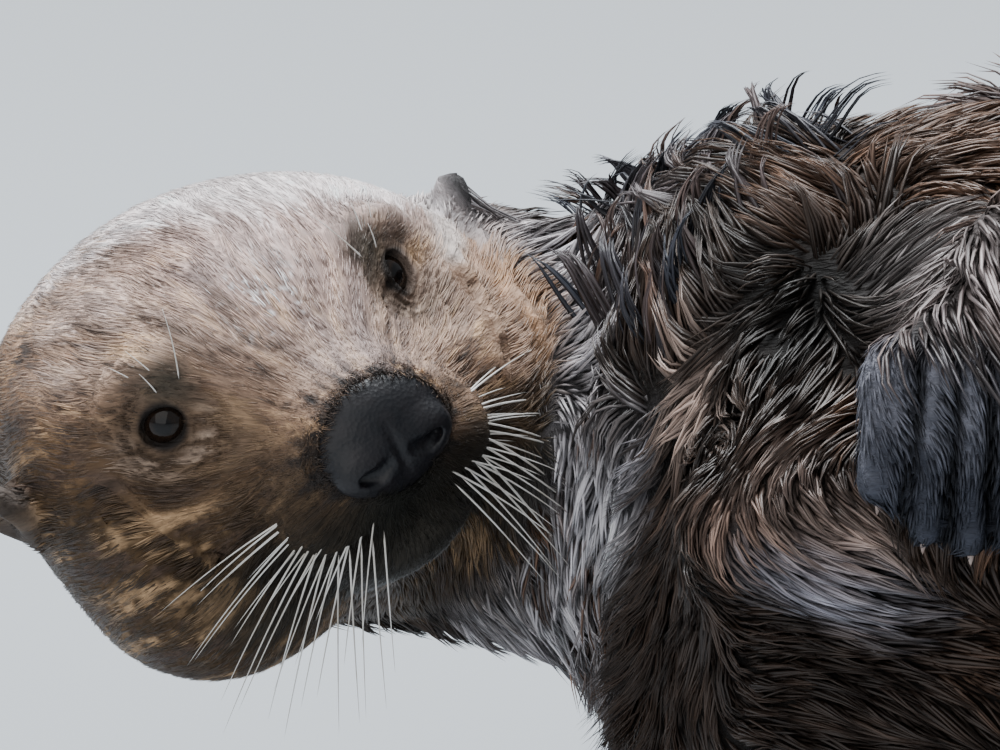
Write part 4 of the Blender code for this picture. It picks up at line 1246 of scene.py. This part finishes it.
CLAW_LENGTH, FORE_CLAW_RADIUS, HIND_CLAW_RADIUS = 0.0085, 0.0020, 0.0022
FORE_CLAW_OUT = 0.0025  # how far a forepaw's claw is moved out of its finger
CLAW_PAINT, nodes, shader = new_material("claw horn")
clouded(nodes, shader, 420.0, (0.3, (0.20, 0.13, 0.11)), (0.7, (0.48, 0.38, 0.33)))
shader.inputs["Roughness"].default_value = 0.38
for side, name in ((1, "right"), (-1, "left")):
    tips, aims = zip(*((tip, aim) for _, tip, aim in fingers(side)))
    aims = [aim.normalized() for aim in aims]
    tips = [tip + aim * FORE_CLAW_OUT for tip, aim in zip(tips, aims)]
    lines, widths = claw_lines(tips, aims, (0, 0.5 * side, -0.2), CLAW_LENGTH, FORE_CLAW_RADIUS)
    points, faces = swept(lines, widths, 10, np.tile((1.0, 0.0, 0.0), (5, 1)))
    fore = mesh_piece("claws_fore_" + name, points, faces)
    tips, aims = zip(*((tip, aim) for _, tip, aim in toes(side)))
    down = -np.array(flipper_frame(side).col[2]) * side
    lines, widths = claw_lines(tips, aims, down, CLAW_LENGTH, HIND_CLAW_RADIUS)
    points, faces = swept(lines, widths, 10, np.tile(down + (0.01, 0, 0), (5, 1)))
    hind = mesh_piece("claws_hind_" + name, points, faces)
    for piece, which in ((fore, "fore"), (hind, "hind")):
        piece.data.materials.append(CLAW_PAINT)
        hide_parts(*("claw_" + which + "_" + name + "_" + str(i) for i in range(1, 6)))


# ---- coat --------------------------------------------------------------------------------------
# The wet coat clings in pointed locks: short, flat and sleek on the head, longer on the trunk,
# where neighbours draw together at their tips. Each tuft is a thin, three-sided, tapering body
# that starts in the skin and lies on it along the hair's way.

triangles = skin_points[skin_faces]
skin_normals = np.cross(triangles[:, 1] - triangles[:, 0], triangles[:, 2] - triangles[:, 0])
skin_areas = np.linalg.norm(skin_normals, axis=1) / 2
TURNED = np.array(Matrix.Rotation(0.7, 3, (0.48, 0.60, 0.64)))
CELLS_ACROSS = 4001  # more cells than any piece of the body spans, so that each has its own key


def cell_keys(places, size):
    """The same whole number for all places in one cubic cell of a lattice turned off the axes."""
    cells = np.floor(places @ TURNED / size).astype(np.int64)
    return (cells[:, 0] * CELLS_ACROSS + cells[:, 1]) * CELLS_ACROSS + cells[:, 2]


def tuft_roots(spacing, wanted, seed):
    """Places on the skin about a spacing apart, in the part of it that is wanted."""
    rng = np.random.default_rng(seed)
    inside = wanted(triangles.mean(axis=1))
    areas = skin_areas * inside
    count = int(areas.sum() / spacing**2 * 4)
    chosen = rng.choice(len(areas), count, p=areas / areas.sum())
    a, b = rng.random(count), rng.random(count)
    over = a + b > 1
    a[over], b[over] = 1 - a[over], 1 - b[over]
    corner, second, third = triangles[chosen].transpose(1, 0, 2)
    places = corner + a[:, None] * (second - corner) + b[:, None] * (third - corner)
    first = np.sort(np.unique(cell_keys(places, spacing * 0.93), return_index=True)[1])
    return places[first], rng


def clumped(places, size):
    """Which clump each place belongs to, and the way from the place to the clump's middle."""
    keys = cell_keys(places + 0.35 * size * mottle(places, size * 2, 7)[:, None], size)
    _, clump, counts = np.unique(keys, return_inverse=True, return_counts=True)
    clump = clump.reshape(-1)
    middles = np.stack([np.bincount(clump, places[:, i]) for i in range(3)], axis=1) / counts[:, None]
    return clump, middles[clump] - places


def block(low, size, across, up):
    """Places in one block of the unit square, from two shares that run from 0 to 1."""
    return np.stack([low[0] + across * size[0], low[1] + up * size[1]], axis=1)


def unwrap(points):
    """Places of the skin on a unit square: blocks for the head, the trunk, the tail end and the paws."""
    local = to_head(points)
    turn = np.arctan2(local[:, 0], local[:, 1] + 0.5) / math.tau + 0.5
    ahead = (local[:, 2] - 0.5) / np.linalg.norm(local - (0, -0.5, 0.5), axis=1)
    rise = np.arccos(np.clip(ahead, -1, 1)) / math.pi
    around = np.arctan2(points[:, 1], points[:, 2] - 0.11) / math.tau + 0.5
    down_trunk = np.clip((points[:, 0] + 0.05) / 0.90, 0, 1)
    down_tail = np.clip((points[:, 0] - 0.80) / 0.34, 0, 1)
    paw_rise = np.clip((points[:, 2] - 0.10) / 0.16, 0, 1)
    paw_side = np.clip((points[:, 1] + 0.22) / 0.44, 0, 1)
    head = block((0.01, 0.01), (0.48, 0.48), turn, rise)
    trunk = block((0.51, 0.01), (0.48, 0.98), around, down_trunk)
    tail = block((0.01, 0.51), (0.22, 0.47), around, down_tail)
    paws = block((0.25, 0.51), (0.23, 0.47), paw_rise, paw_side)
    uv = np.where((on_head(points) > 0.5)[:, None], head, trunk)
    uv = np.where((points[:, 0] > 0.85)[:, None], tail, uv)
    on_paws = (short_coated(points) > 0.5) & (points[:, 0] < 0.4)
    return np.where(on_paws[:, None], paws, uv)


FLOOR_CLEAR = 0.0004  # no hair comes nearer the floor
TUFT_WIDE, TUFT_PATCH = 0.002, 0.003  # a tuft's width in the hair grain, and its size on the map
# Each tuft runs from dark roots to paler tips: the pale tips are the hair's own, the dark roots painted
# shade deep in the coat.
TIP_SHADE = 1.15  # the tips are paler than the markings, and the roots darker
GIRTH = ((0, 0.25, 0.6, 1), (0.75, 1.0, 0.72, 0.0))  # share of the length, share of the width


def tufts(
    name, roots, way, lengths, widths, stand, colours,
    *, sink, rings, pull, thick, paint, root_shade,
):
    """A mesh of tufts: centre lines walked over the coat's form, then a three-sided body on each.

    A line starts below the skin by sink and rises to stand over the body's outer form, and its tip
    is drawn by pull to its clump's middle. The body's ridge is as high as thick times half its width.
    """
    count = len(roots)
    shares = np.linspace(0, 1, rings + 1)
    at = roots
    start_value = outer.read(roots)[0]
    lines, ups = [], []
    for k, share in enumerate(shares):
        value, slope = outer.read(at)
        up = slope / np.maximum(np.linalg.norm(slope, axis=1, keepdims=True), 1e-6)
        heading = way(at + pull)
        heading = heading - up * (heading * up).sum(1, keepdims=True)
        heading = heading / np.maximum(np.linalg.norm(heading, axis=1, keepdims=True), 1e-6)
        if k == 0:
            height = start_value - sink
        else:
            height = start_value + (stand - start_value) * ease(share * 1.4)
        at = at + up * (height - value)[:, None]
        lines.append(at)
        ups.append(up)
        at = at + heading * (lengths / rings)[:, None]
    lines, ups = np.stack(lines, axis=1), np.stack(ups, axis=1)
    for _ in range(2):
        lines[:, 1:-1] = lines[:, 1:-1] / 2 + (lines[:, :-2] + lines[:, 2:]) / 4
    lines += pull[:, None, :] * ease(shares)[None, :, None]
    lines[..., 2] = np.maximum(lines[..., 2], FLOOR_CLEAR)
    along = np.gradient(lines, axis=1)
    across = np.cross(ups, along)
    across /= np.maximum(np.linalg.norm(across, axis=2, keepdims=True), 1e-9)
    ups = np.cross(along, across)
    ups /= np.maximum(np.linalg.norm(ups, axis=2, keepdims=True), 1e-9)
    girth = np.interp(shares, *GIRTH)[None, :] * widths[:, None] / 2
    left = lines - across * girth[..., None]
    right = lines + across * girth[..., None]
    ridge = lines + ups * (girth * thick)[..., None]
    rows = np.stack([left[:, :-1], right[:, :-1], ridge[:, :-1]], axis=2).reshape(count, -1, 3)
    points = np.concatenate([rows, lines[:, -1:]], axis=1)
    template = [(0, 2, 1)]
    for ring in range(rings - 1):
        a, b = ring * 3, ring * 3 + 3
        for i, j in ((0, 1), (1, 2), (2, 0)):
            template += [(a + i, a + j, b + j), (a + i, b + j, b + i)]
    a, tip = (rings - 1) * 3, rings * 3
    template += [(a, a + 1, tip), (a + 1, a + 2, tip), (a + 2, a, tip)]
    template = np.array(template)
    each = rings * 3 + 1
    faces = (template[None] + (np.arange(count) * each)[:, None, None]).reshape(-1, 3)
    made = mesh_piece(name, points.reshape(-1, 3), faces)
    lift = np.concatenate([np.repeat(shares[:-1], 3), (1.0,)])
    # Painted shade towards the roots, paler tips.
    colour = colours[:, None, :] * (root_shade + (TIP_SHADE - root_shade) * lift)[None, :, None]
    colour_attribute(made, "markings_and_painted_light", colour.reshape(-1, 3))
    over = np.concatenate([np.tile((0.0, 1.0, 0.5), rings), (0.5,)])
    across_value = roots[:, None, :] + (over * TUFT_WIDE)[None, :, None]
    vector_attribute(made, "across", across_value.reshape(-1, 3))
    value_attribute(made, "shine", np.repeat(shine_of(roots), each))
    value_attribute(made, "along", (lift[None] * lengths[:, None]).reshape(-1))
    patch = np.stack([over - 0.5, lift - 0.5], axis=1) * TUFT_PATCH
    uv = (unwrap(roots)[:, None, :] + patch[None]).reshape(-1, 2)
    layer = made.data.uv_layers.new(name="OFBake")
    layer.data.foreach_set("uv", uv[faces.ravel()].astype(np.float32).ravel())
    made.data.materials.append(paint)


def varied(rng, clump, low, high):
    """One random number for every member of a clump."""
    return (low + (high - low) * rng.random(clump.max() + 1))[clump]


HEAD_FUR = coat_material("sleek head fur", 1500.0, 0.0002, 0.42, 0.10, 0.30)
BODY_FUR = coat_material("wet body locks", 1500.0, 0.0003, 0.36, 0.22, 0.32)
PAW_FUR = coat_material("velvet paw fur", 1500.0, 0.0002, 0.55, 0.02, 0.20)

SWIRLS = (  # place, way the hair points, height of the tips over the coat, length, reach
    ((0.018, 0.045, 0.207), (0.85, -0.35, 0.25), 0.001, 0.90, 0.018),
    ((0.016, 0.000, 0.187), (0.75, -0.40, 0.10), 0.000, 0.90, 0.018),
    ((0.010, -0.020, 0.140), (0.10, 0.40, -0.90), 0.000, 0.90, 0.026),
    ((0.027, 0.032, 0.208), (-0.10, 0.05, 0.99), 0.008, 1.35, 0.016),
    ((0.034, -0.005, 0.202), (-0.20, 0.20, 0.96), 0.009, 1.50, 0.018),
    ((0.034, -0.030, 0.182), (-0.15, 0.45, 0.88), 0.006, 1.30, 0.014),
    ((0.045, 0.009, 0.224), (-0.90, 0.10, 0.40), 0.012, 1.30, 0.018),
    ((0.057, -0.006, 0.232), (-0.95, 0.10, 0.30), 0.013, 1.20, 0.016),
    ((0.054, -0.044, 0.216), (-0.85, 0.20, 0.50), 0.007, 1.40, 0.020),
    ((0.046, -0.050, 0.200), (-0.80, 0.35, 0.50), 0.006, 1.20, 0.014),
    ((0.073, -0.010, 0.238), (-0.90, 0.20, 0.35), 0.010, 1.00, 0.016),
    ((0.080, -0.045, 0.230), (-0.75, 0.30, 0.45), 0.006, 0.85, 0.018),
    ((0.073, -0.076, 0.211), (-0.65, -0.35, -0.65), 0.003, 1.10, 0.018),
    ((0.092, -0.044, 0.236), (-0.35, 0.60, 0.70), 0.007, 0.90, 0.014),
    ((0.100, -0.066, 0.226), (0.80, 0.10, 0.60), 0.004, 1.40, 0.016),
    ((0.112, -0.082, 0.224), (0.95, -0.20, 0.05), 0.005, 1.60, 0.022),
    ((0.119, -0.142, 0.242), (0.65, -0.60, -0.50), 0.004, 1.40, 0.026),
    ((0.132, -0.162, 0.235), (0.50, -0.55, -0.70), 0.004, 1.20, 0.022),
    ((0.078, -0.108, 0.185), (-0.50, -0.30, -0.80), 0.001, 1.10, 0.022),
    ((0.060, -0.110, 0.168), (-0.25, -0.30, -0.92), 0.001, 0.90, 0.016),
    ((0.076, -0.125, 0.163), (0.95, -0.10, -0.20), 0.001, 1.10, 0.020),
    ((0.050, -0.067, 0.186), (-0.45, -0.30, -0.84), 0.000, 0.70, 0.012),
    ((0.027, -0.027, 0.151), (0.15, 0.35, -0.90), -0.002, 0.60, 0.026),
    ((0.034, -0.060, 0.125), (0.30, 0.45, -0.80), -0.001, 0.80, 0.034),
)


def swirled(points):
    """The hair's way, its tips' extra height and its length, from the swirls of the chest."""
    way, stand, length = lie_of(points), np.zeros(len(points)), np.ones(len(points))
    total = np.full(len(points), 0.10)
    way, length = way * 0.10, length * 0.10
    for place, aim, high, long, reach in SWIRLS:
        share = ease(1 - np.linalg.norm(points - np.array(place), axis=1) / (reach * 1.6))
        way = way + np.array(aim) * share[:, None]
        stand, length, total = stand + high * share, length + long * share, total + share
    way = way / total[:, None]
    size = np.linalg.norm(way, axis=1)
    parting = ease((0.75 - size) / 0.6) * (total > 0.4)
    stand, length = stand / total + 0.008 * parting, length / total * (1 - 0.35 * parting)
    return way / np.maximum(size, 1e-6)[:, None], stand, length


def head_way(points):
    """The head's lie, turned a little to either side by broad noise."""
    way = lie_of(points)
    side = np.cross(way, outer.read(points)[1])
    return way + side * (mottle(points, 0.012, 13) * 0.35)[:, None]


def body_way(points):
    """The swirled lie, turned to either side by noise, most among the tangled curls by the paw."""
    way = swirled(points)[0]
    tangled = near_place(points, (0.125, -0.03, 0.247), 0.055)
    turn = mottle(points, 0.030, 11) * 0.5 + mottle(points, 0.011, 12) * (0.45 + 0.9 * tangled)
    side = np.cross(way, outer.read(points)[1])
    return way + side * turn[:, None]


def eye_rims(points):
    """Distance in centimetres from the rims of the lids and from the nose: below 0 inside them."""
    local = to_head(points)
    near = [nose_outline(local) + 0.04]
    for side in (-1, 1):
        ball, axes = eye_frame(side)
        near.append(ellipsoid(local, ball + axes.col[0] * 0.95, (0.9, 0.72, 0.58), axes))
    return np.min(near, axis=0)


HEAD_BANDS = (  # centimetres behind and ahead of the head's middle, spacing of the tufts
    (-99, -1.5, 0.0018),
    (-1.5, 1.8, 0.0012),
    (1.8, 99, 0.00125),
)


def head_coat():
    """Short tufts all over the head but for the nose and the lid rims."""

    def wanted(points):
        """On the head, off the nose, the lid rims and the ears."""
        return (on_head(points) > 0.45) & (eye_rims(points) > 0) & (on_ears(points) < 0.3)

    for part, (low, high, spacing) in enumerate(HEAD_BANDS):

        def here(points):
            """The wanted places within this band."""
            ahead = to_head(points)[:, 2]
            return wanted(points) & (ahead >= low) & (ahead < high)

        roots, rng = tuft_roots(spacing, here, 30 + part)
        local = to_head(roots)
        clump, pull = clumped(roots, 0.0050)
        size = np.interp(local[:, 2], (-2, 2, 5, 7), (1.35, 1.15, 0.80, 0.45))
        near_eye = ease(1.2 - eye_rims(roots))
        size *= rng.uniform(0.75, 1.2, len(roots)) * (1 - 0.60 * near_eye)
        shade = rng.uniform(0.92, 1.08, len(roots)) * varied(rng, clump, 0.94, 1.06)
        colours = markings_and_painted_light(roots) * shade[:, None]
        stand = -coat_depth(roots) * rng.uniform(0.55, 0.95, len(roots))
        lengths, widths = 0.0090 * size, 0.00058 * size**0.5
        tufts(
            "coat_head_" + str(part + 1), roots, head_way, lengths, widths, stand, colours,
            sink=0.0005, rings=2, pull=pull * 0.45, thick=0.50,
            paint=HEAD_FUR, root_shade=0.92,
        )


BODY_BANDS = (  # start and end along the body, spacing of the tufts
    (-99, 0.034, 0.0023),
    (0.034, 0.066, 0.0023),
    (0.066, 0.100, 0.0023),
    (0.100, 0.165, 0.0030),
    (0.165, 0.34, 0.0054),
    (0.34, 0.52, 0.0054),
    (0.52, 0.72, 0.0054),
    (0.72, 99, 0.0051),
)


def body_coat():
    """Locks on neck, chest and trunk, closer and finer at the animal's front."""

    def wanted(points):
        """Off the head, the paws and the flippers."""
        return (on_head(points) <= 0.5) & (short_coated(points) < 0.5)

    for part, (low, high, spacing) in enumerate(BODY_BANDS):

        def here(points):
            """The wanted places within this band."""
            return wanted(points) & (points[:, 0] >= low) & (points[:, 0] < high)

        roots, rng = tuft_roots(spacing, here, 50 + part)
        clump, pull = clumped(roots, 0.0032 + spacing * 1.6)
        _, extra, longer = swirled(roots)
        lengths = rng.uniform(0.019, 0.025, len(roots)) * varied(rng, clump, 0.65, 1.35) * longer
        lengths *= 1 + 0.25 * ease((roots[:, 0] - 0.16) / 0.05)
        lengths *= 1 - 0.45 * ease((roots[:, 0] - 0.86) / 0.05)
        lengths *= 1 - 0.50 * ease(on_head(roots) * 2)
        widths = (0.0004 + spacing * 0.40) * rng.uniform(0.60, 1.20, len(roots))
        shade = rng.uniform(0.80, 1.22, len(roots)) * varied(rng, clump, 0.60, 1.50)
        colours = markings_and_painted_light(roots) * shade[:, None]
        stand = -BODY_COAT + varied(rng, clump, 0.001, 0.0070)
        stand += rng.uniform(-0.0005, 0.0005, len(roots))
        stand += extra * varied(rng, clump, 0.3, 1.3)
        stand -= relief(roots) * 0.8
        stand += 0.0085 * ease(short_coated(roots) / 0.4)
        pull = pull * varied(rng, clump, 0.80, 1.0)[:, None]
        tufts(
            "coat_body_" + str(part + 1), roots, body_way, lengths, widths, stand, colours,
            sink=0.001, rings=3, pull=pull, thick=0.75,
            paint=BODY_FUR, root_shade=0.50,
        )


def spikes():
    """Wet locks that stand up in dark points along the top of the chest, behind the neck."""

    def wanted(points):
        """The top of the chest, clear of the head."""
        x, y, z = points.T
        top = (x > 0.024) & (x < 0.100) & (y > -0.046) & (y < 0.058) & (z > 0.186)
        return top & (on_head(points) < 0.3)

    roots, rng = tuft_roots(0.0030, wanted, 95)
    clump, pull = clumped(roots, 0.0095)
    kept = varied(rng, clump, 0, 1) < np.where(roots[:, 0] < 0.052, 0.60, 0.34)
    roots, clump, pull = roots[kept], clump[kept], pull[kept]
    forward, sideways = varied(rng, clump, -0.9, 0.1), varied(rng, clump, -0.2, 0.3)
    lean = np.stack([forward, sideways, np.full(len(roots), 0.9)], axis=1)
    lengths = varied(rng, clump, 0.016, 0.030) * rng.uniform(0.88, 1.0, len(roots))
    stand = varied(rng, clump, 0.004, 0.014) * ease((0.105 - roots[:, 0]) / 0.03)
    shade = varied(rng, clump, 0.6, 1.5) * rng.uniform(0.8, 1.2, len(roots))
    slate, brown = np.tile((0.034, 0.037, 0.050), (len(roots), 1)), (0.120, 0.070, 0.050)
    colours = mixed(slate, brown, varied(rng, clump, 0, 1) ** 2) * shade[:, None]
    widths = np.full(len(roots), 0.0015)
    tufts(
        "coat_spikes", roots, lambda points: lean, lengths, widths, stand, colours,
        sink=0.001, rings=7, pull=pull * 0.97, thick=0.6,
        paint=BODY_FUR, root_shade=0.55,
    )


def under_fur():
    """A close nap of short dark hair beneath the chest's locks, which shows where they part."""

    def wanted(points):
        """Neck, chest and near arm, off the head and the paws."""
        x, y, z = points.T
        near = (x > 0.0) & (x < 0.15) & (y < 0.07) & (z > 0.10)
        return near & (on_head(points) <= 0.5) & (short_coated(points) < 0.5)

    roots, rng = tuft_roots(0.0031, wanted, 90)
    pull = clumped(roots, 0.004)[1] * 0.5
    shade = 0.55 * rng.uniform(0.7, 1.3, len(roots))
    colours = markings_and_painted_light(roots) * shade[:, None]
    lengths = rng.uniform(0.007, 0.011, len(roots))
    widths = np.full(len(roots), 0.0016)
    stand = -BODY_COAT + rng.uniform(0.001, 0.004, len(roots)) - relief(roots)
    tufts(
        "coat_under", roots, body_way, lengths, widths, stand, colours,
        sink=0.001, rings=2, pull=pull, thick=0.7,
        paint=PAW_FUR, root_shade=0.60,
    )


def nose_fringe():
    """Fine dark hairs that lean over the rim of the nose and break its outline."""

    def wanted(points):
        """A narrow ring round the nose."""
        outline = nose_outline(to_head(points))
        return (outline > -0.02) & (outline < 0.28)

    roots, rng = tuft_roots(0.00075, wanted, 97)
    local = to_head(roots)
    inward = np.stack([-local[:, 0], PAD_MIDDLE - local[:, 1], np.zeros(len(roots))], axis=1)
    inward += rng.normal(0, 0.5, inward.shape)
    inward = inward @ AXES.T
    lengths = rng.uniform(0.0022, 0.0052, len(roots))
    widths = np.full(len(roots), 0.00032)
    stand = rng.uniform(0.0002, 0.0012, len(roots))
    colours = markings_and_painted_light(roots) * rng.uniform(0.6, 1.5, len(roots))[:, None]
    tufts(
        "coat_nose_rim", roots, lambda points: inward, lengths, widths, stand, colours,
        sink=0.0008, rings=2, pull=np.zeros_like(roots), thick=0.6,
        paint=HEAD_FUR, root_shade=0.85,
    )


def paw_coat():
    """Very short, close tufts on the forepaws and the ears."""

    def wanted(points):
        """The forepaws and the ears."""
        return ((short_coated(points) >= 0.5) & (points[:, 0] < 0.4)) | (on_ears(points) >= 0.3)

    roots, rng = tuft_roots(0.0020, wanted, 80)
    pull = clumped(roots, 0.005)[1] * 0.2
    ears = on_ears(roots)
    lengths = rng.uniform(0.004, 0.009, len(roots)) * (1 - 0.6 * ears)
    colours = markings_and_painted_light(roots) * rng.uniform(0.8, 1.25, len(roots))[:, None]
    widths = np.full(len(roots), 0.0011) * (1 - 0.4 * ears)
    stand = rng.uniform(-0.0005, 0.0015, len(roots)) * (1 - ears) - coat_depth(roots) * 0.3
    tufts(
        "coat_paws", roots, head_way, lengths, widths, stand, colours,
        sink=0.0004, rings=2, pull=pull, thick=0.5,
        paint=PAW_FUR, root_shade=0.80,
    )


head_coat()
body_coat()
spikes()
under_fur()
nose_fringe()
paw_coat()


# ---- whiskers ----------------------------------------------------------------------------------
# Stout, stiff, white whiskers fan from rows on the pads beside the nose, with a few over each eye.
# Each is a tapering hair whose root is sunk in the skin.


ROW_DOWN, ROW_OUT = (0.02, 0.35, 0.72, 1.10, 1.50), (1.0, 1.0, 1.0, 0.85, 0.6)
BROW_HAIRS = (  # root, aim, length in centimetres
    ((3.02, 2.67, 4.1), (-0.35, 1.0, 0.25), 1.9),
    ((3.5, 2.75, 3.7), (0.3, 1.0, 0.1), 1.3),
    ((3.95, 2.85, 3.4), (0.5, 0.9, 0.1), 1.1),
    ((3.75, 2.6, 3.7), (0.2, 0.9, 0.3), 0.8),
)


def hair_curve(share, root, aim, length, sag, sunk):
    """Places along a hair that starts sunk behind its root and bends by the square of the share."""
    curve = share[:, None] * length * aim + share[:, None] ** 2 * length * np.array(sag)
    return in_head(root + curve - aim * sunk)


def whisker_lines(side, rng):
    """Centre lines and radii: rows run back from the nose, and lower rows point further down."""
    lines, radii = [], []
    share = np.linspace(0, 1, 12)
    for row in range(5):
        for place in range(6):
            if row in (0, 4) and place == 5:
                continue
            back = place / 5
            out = 1.55 + 1.55 * back - 0.12 * abs(row - 2)
            rise = -1.95 - 0.46 * row + 0.1 * back
            root = np.array((side * out, rise, 6.95 - 0.75 * back))
            down = ROW_DOWN[row] + rng.uniform(-0.1, 0.1)
            backward = -0.35 - 0.45 * back + rng.uniform(-0.1, 0.1)
            aim = np.array((side * ROW_OUT[row], -down, backward))
            aim /= np.linalg.norm(aim)
            length = (3.4 + 2.2 * back) * rng.uniform(0.85, 1.15)
            lines.append(hair_curve(share, root, aim, length, (0, -0.16, -0.16), 0.35))
            radii.append(0.00030 * (1 - share) ** 0.7 * rng.uniform(0.8, 1.15) + 0.00004)
    mirror = np.array((side, 1, 1))
    for root, aim, length in BROW_HAIRS:
        lines.append(hair_curve(share, root * mirror, aim * mirror, length, (0, 0.0, -0.35), 0.25))
        radii.append(0.00022 * (1 - share) ** 0.7 + 0.00003)
    return np.array(lines), np.array(radii)


WHISKER_PAINT, nodes, shader = new_material("white whisker")
clouded(nodes, shader, 90.0, (0.3, (0.62, 0.57, 0.50)), (0.7, (0.85, 0.83, 0.80)))
shader.inputs["Roughness"].default_value = 0.3
for side, name in ((-1, "right"), (1, "left")):
    lines, radii = whisker_lines(side, np.random.default_rng(5 + side))
    points, faces = swept(lines, radii, 6, np.tile((0.31, 0.52, 0.79), (len(lines), 1)))
    hairs = mesh_piece("whiskers_" + name, points, faces)
    hairs.data.materials.append(WHISKER_PAINT)


# ---- floor, light and camera -------------------------------------------------------------------
# A pale, matt floor in the soft light of a strong lamp overhead and a wider, weaker one in front.
# The camera stands low on the animal's right side.

CAMERA_RISE, CAMERA_AWAY, FRAME_WIDTH = math.radians(12), 6.0, 0.27
CAMERA_AIM = Vector((0, 0, 0.1745)) + Vector(SHIFT)
TOWARDS_CAMERA = Vector((0, -math.cos(CAMERA_RISE), math.sin(CAMERA_RISE)))

floor_data = bpy.data.meshes.new("floor")
floor_data.from_pydata([(-40, -40, 0), (40, -40, 0), (40, 60, 0), (-40, 60, 0)], [], [(0, 1, 2, 3)])
floor = bpy.data.objects.new("floor", floor_data)
bpy.context.scene.collection.objects.link(floor)
floor_paint, _, floor_shader = new_material("pale floor")
floor_shader.inputs["Base Color"].default_value = (0.37, 0.39, 0.41, 1)
floor_shader.inputs["Roughness"].default_value = 0.8
floor_data.materials.append(floor_paint)

world = bpy.data.worlds.new("studio")
bpy.context.scene.world = world
world.use_nodes = True
backdrop = world.node_tree.nodes["Background"]
backdrop.inputs["Color"].default_value = (0.80, 0.86, 0.93, 1)
backdrop.inputs["Strength"].default_value = 0.50


def soft_light(name, place, aim, size, power, colour):
    """A square area lamp that faces its aim."""
    lamp = bpy.data.lights.new(name, "AREA")
    lamp.size, lamp.energy, lamp.color = size, power, colour
    made = bpy.data.objects.new(name, lamp)
    made.location = place
    made.rotation_euler = (Vector(aim) - Vector(place)).to_track_quat("-Z", "Y").to_euler()
    bpy.context.scene.collection.objects.link(made)


head_place = np.array(HEAD) + SHIFT
soft_light("sky", (head_place[0] - 0.2, 0.9, 2.4), head_place, 1.8, 190, (0.93, 0.97, 1.0))
soft_light("front", (head_place[0] - 1.2, -2.6, 1.4), head_place, 3.0, 34, (1.0, 0.98, 0.95))

camera_data = bpy.data.cameras.new("camera")
camera = bpy.data.objects.new("camera", camera_data)
bpy.context.scene.collection.objects.link(camera)
bpy.context.scene.camera = camera
camera.location = CAMERA_AIM + TOWARDS_CAMERA * CAMERA_AWAY
camera.rotation_euler = (CAMERA_AIM - camera.location).to_track_quat("-Z", "Y").to_euler()
camera_data.angle = 2 * math.atan(FRAME_WIDTH / 2 / CAMERA_AWAY)
camera_data.clip_end = 100
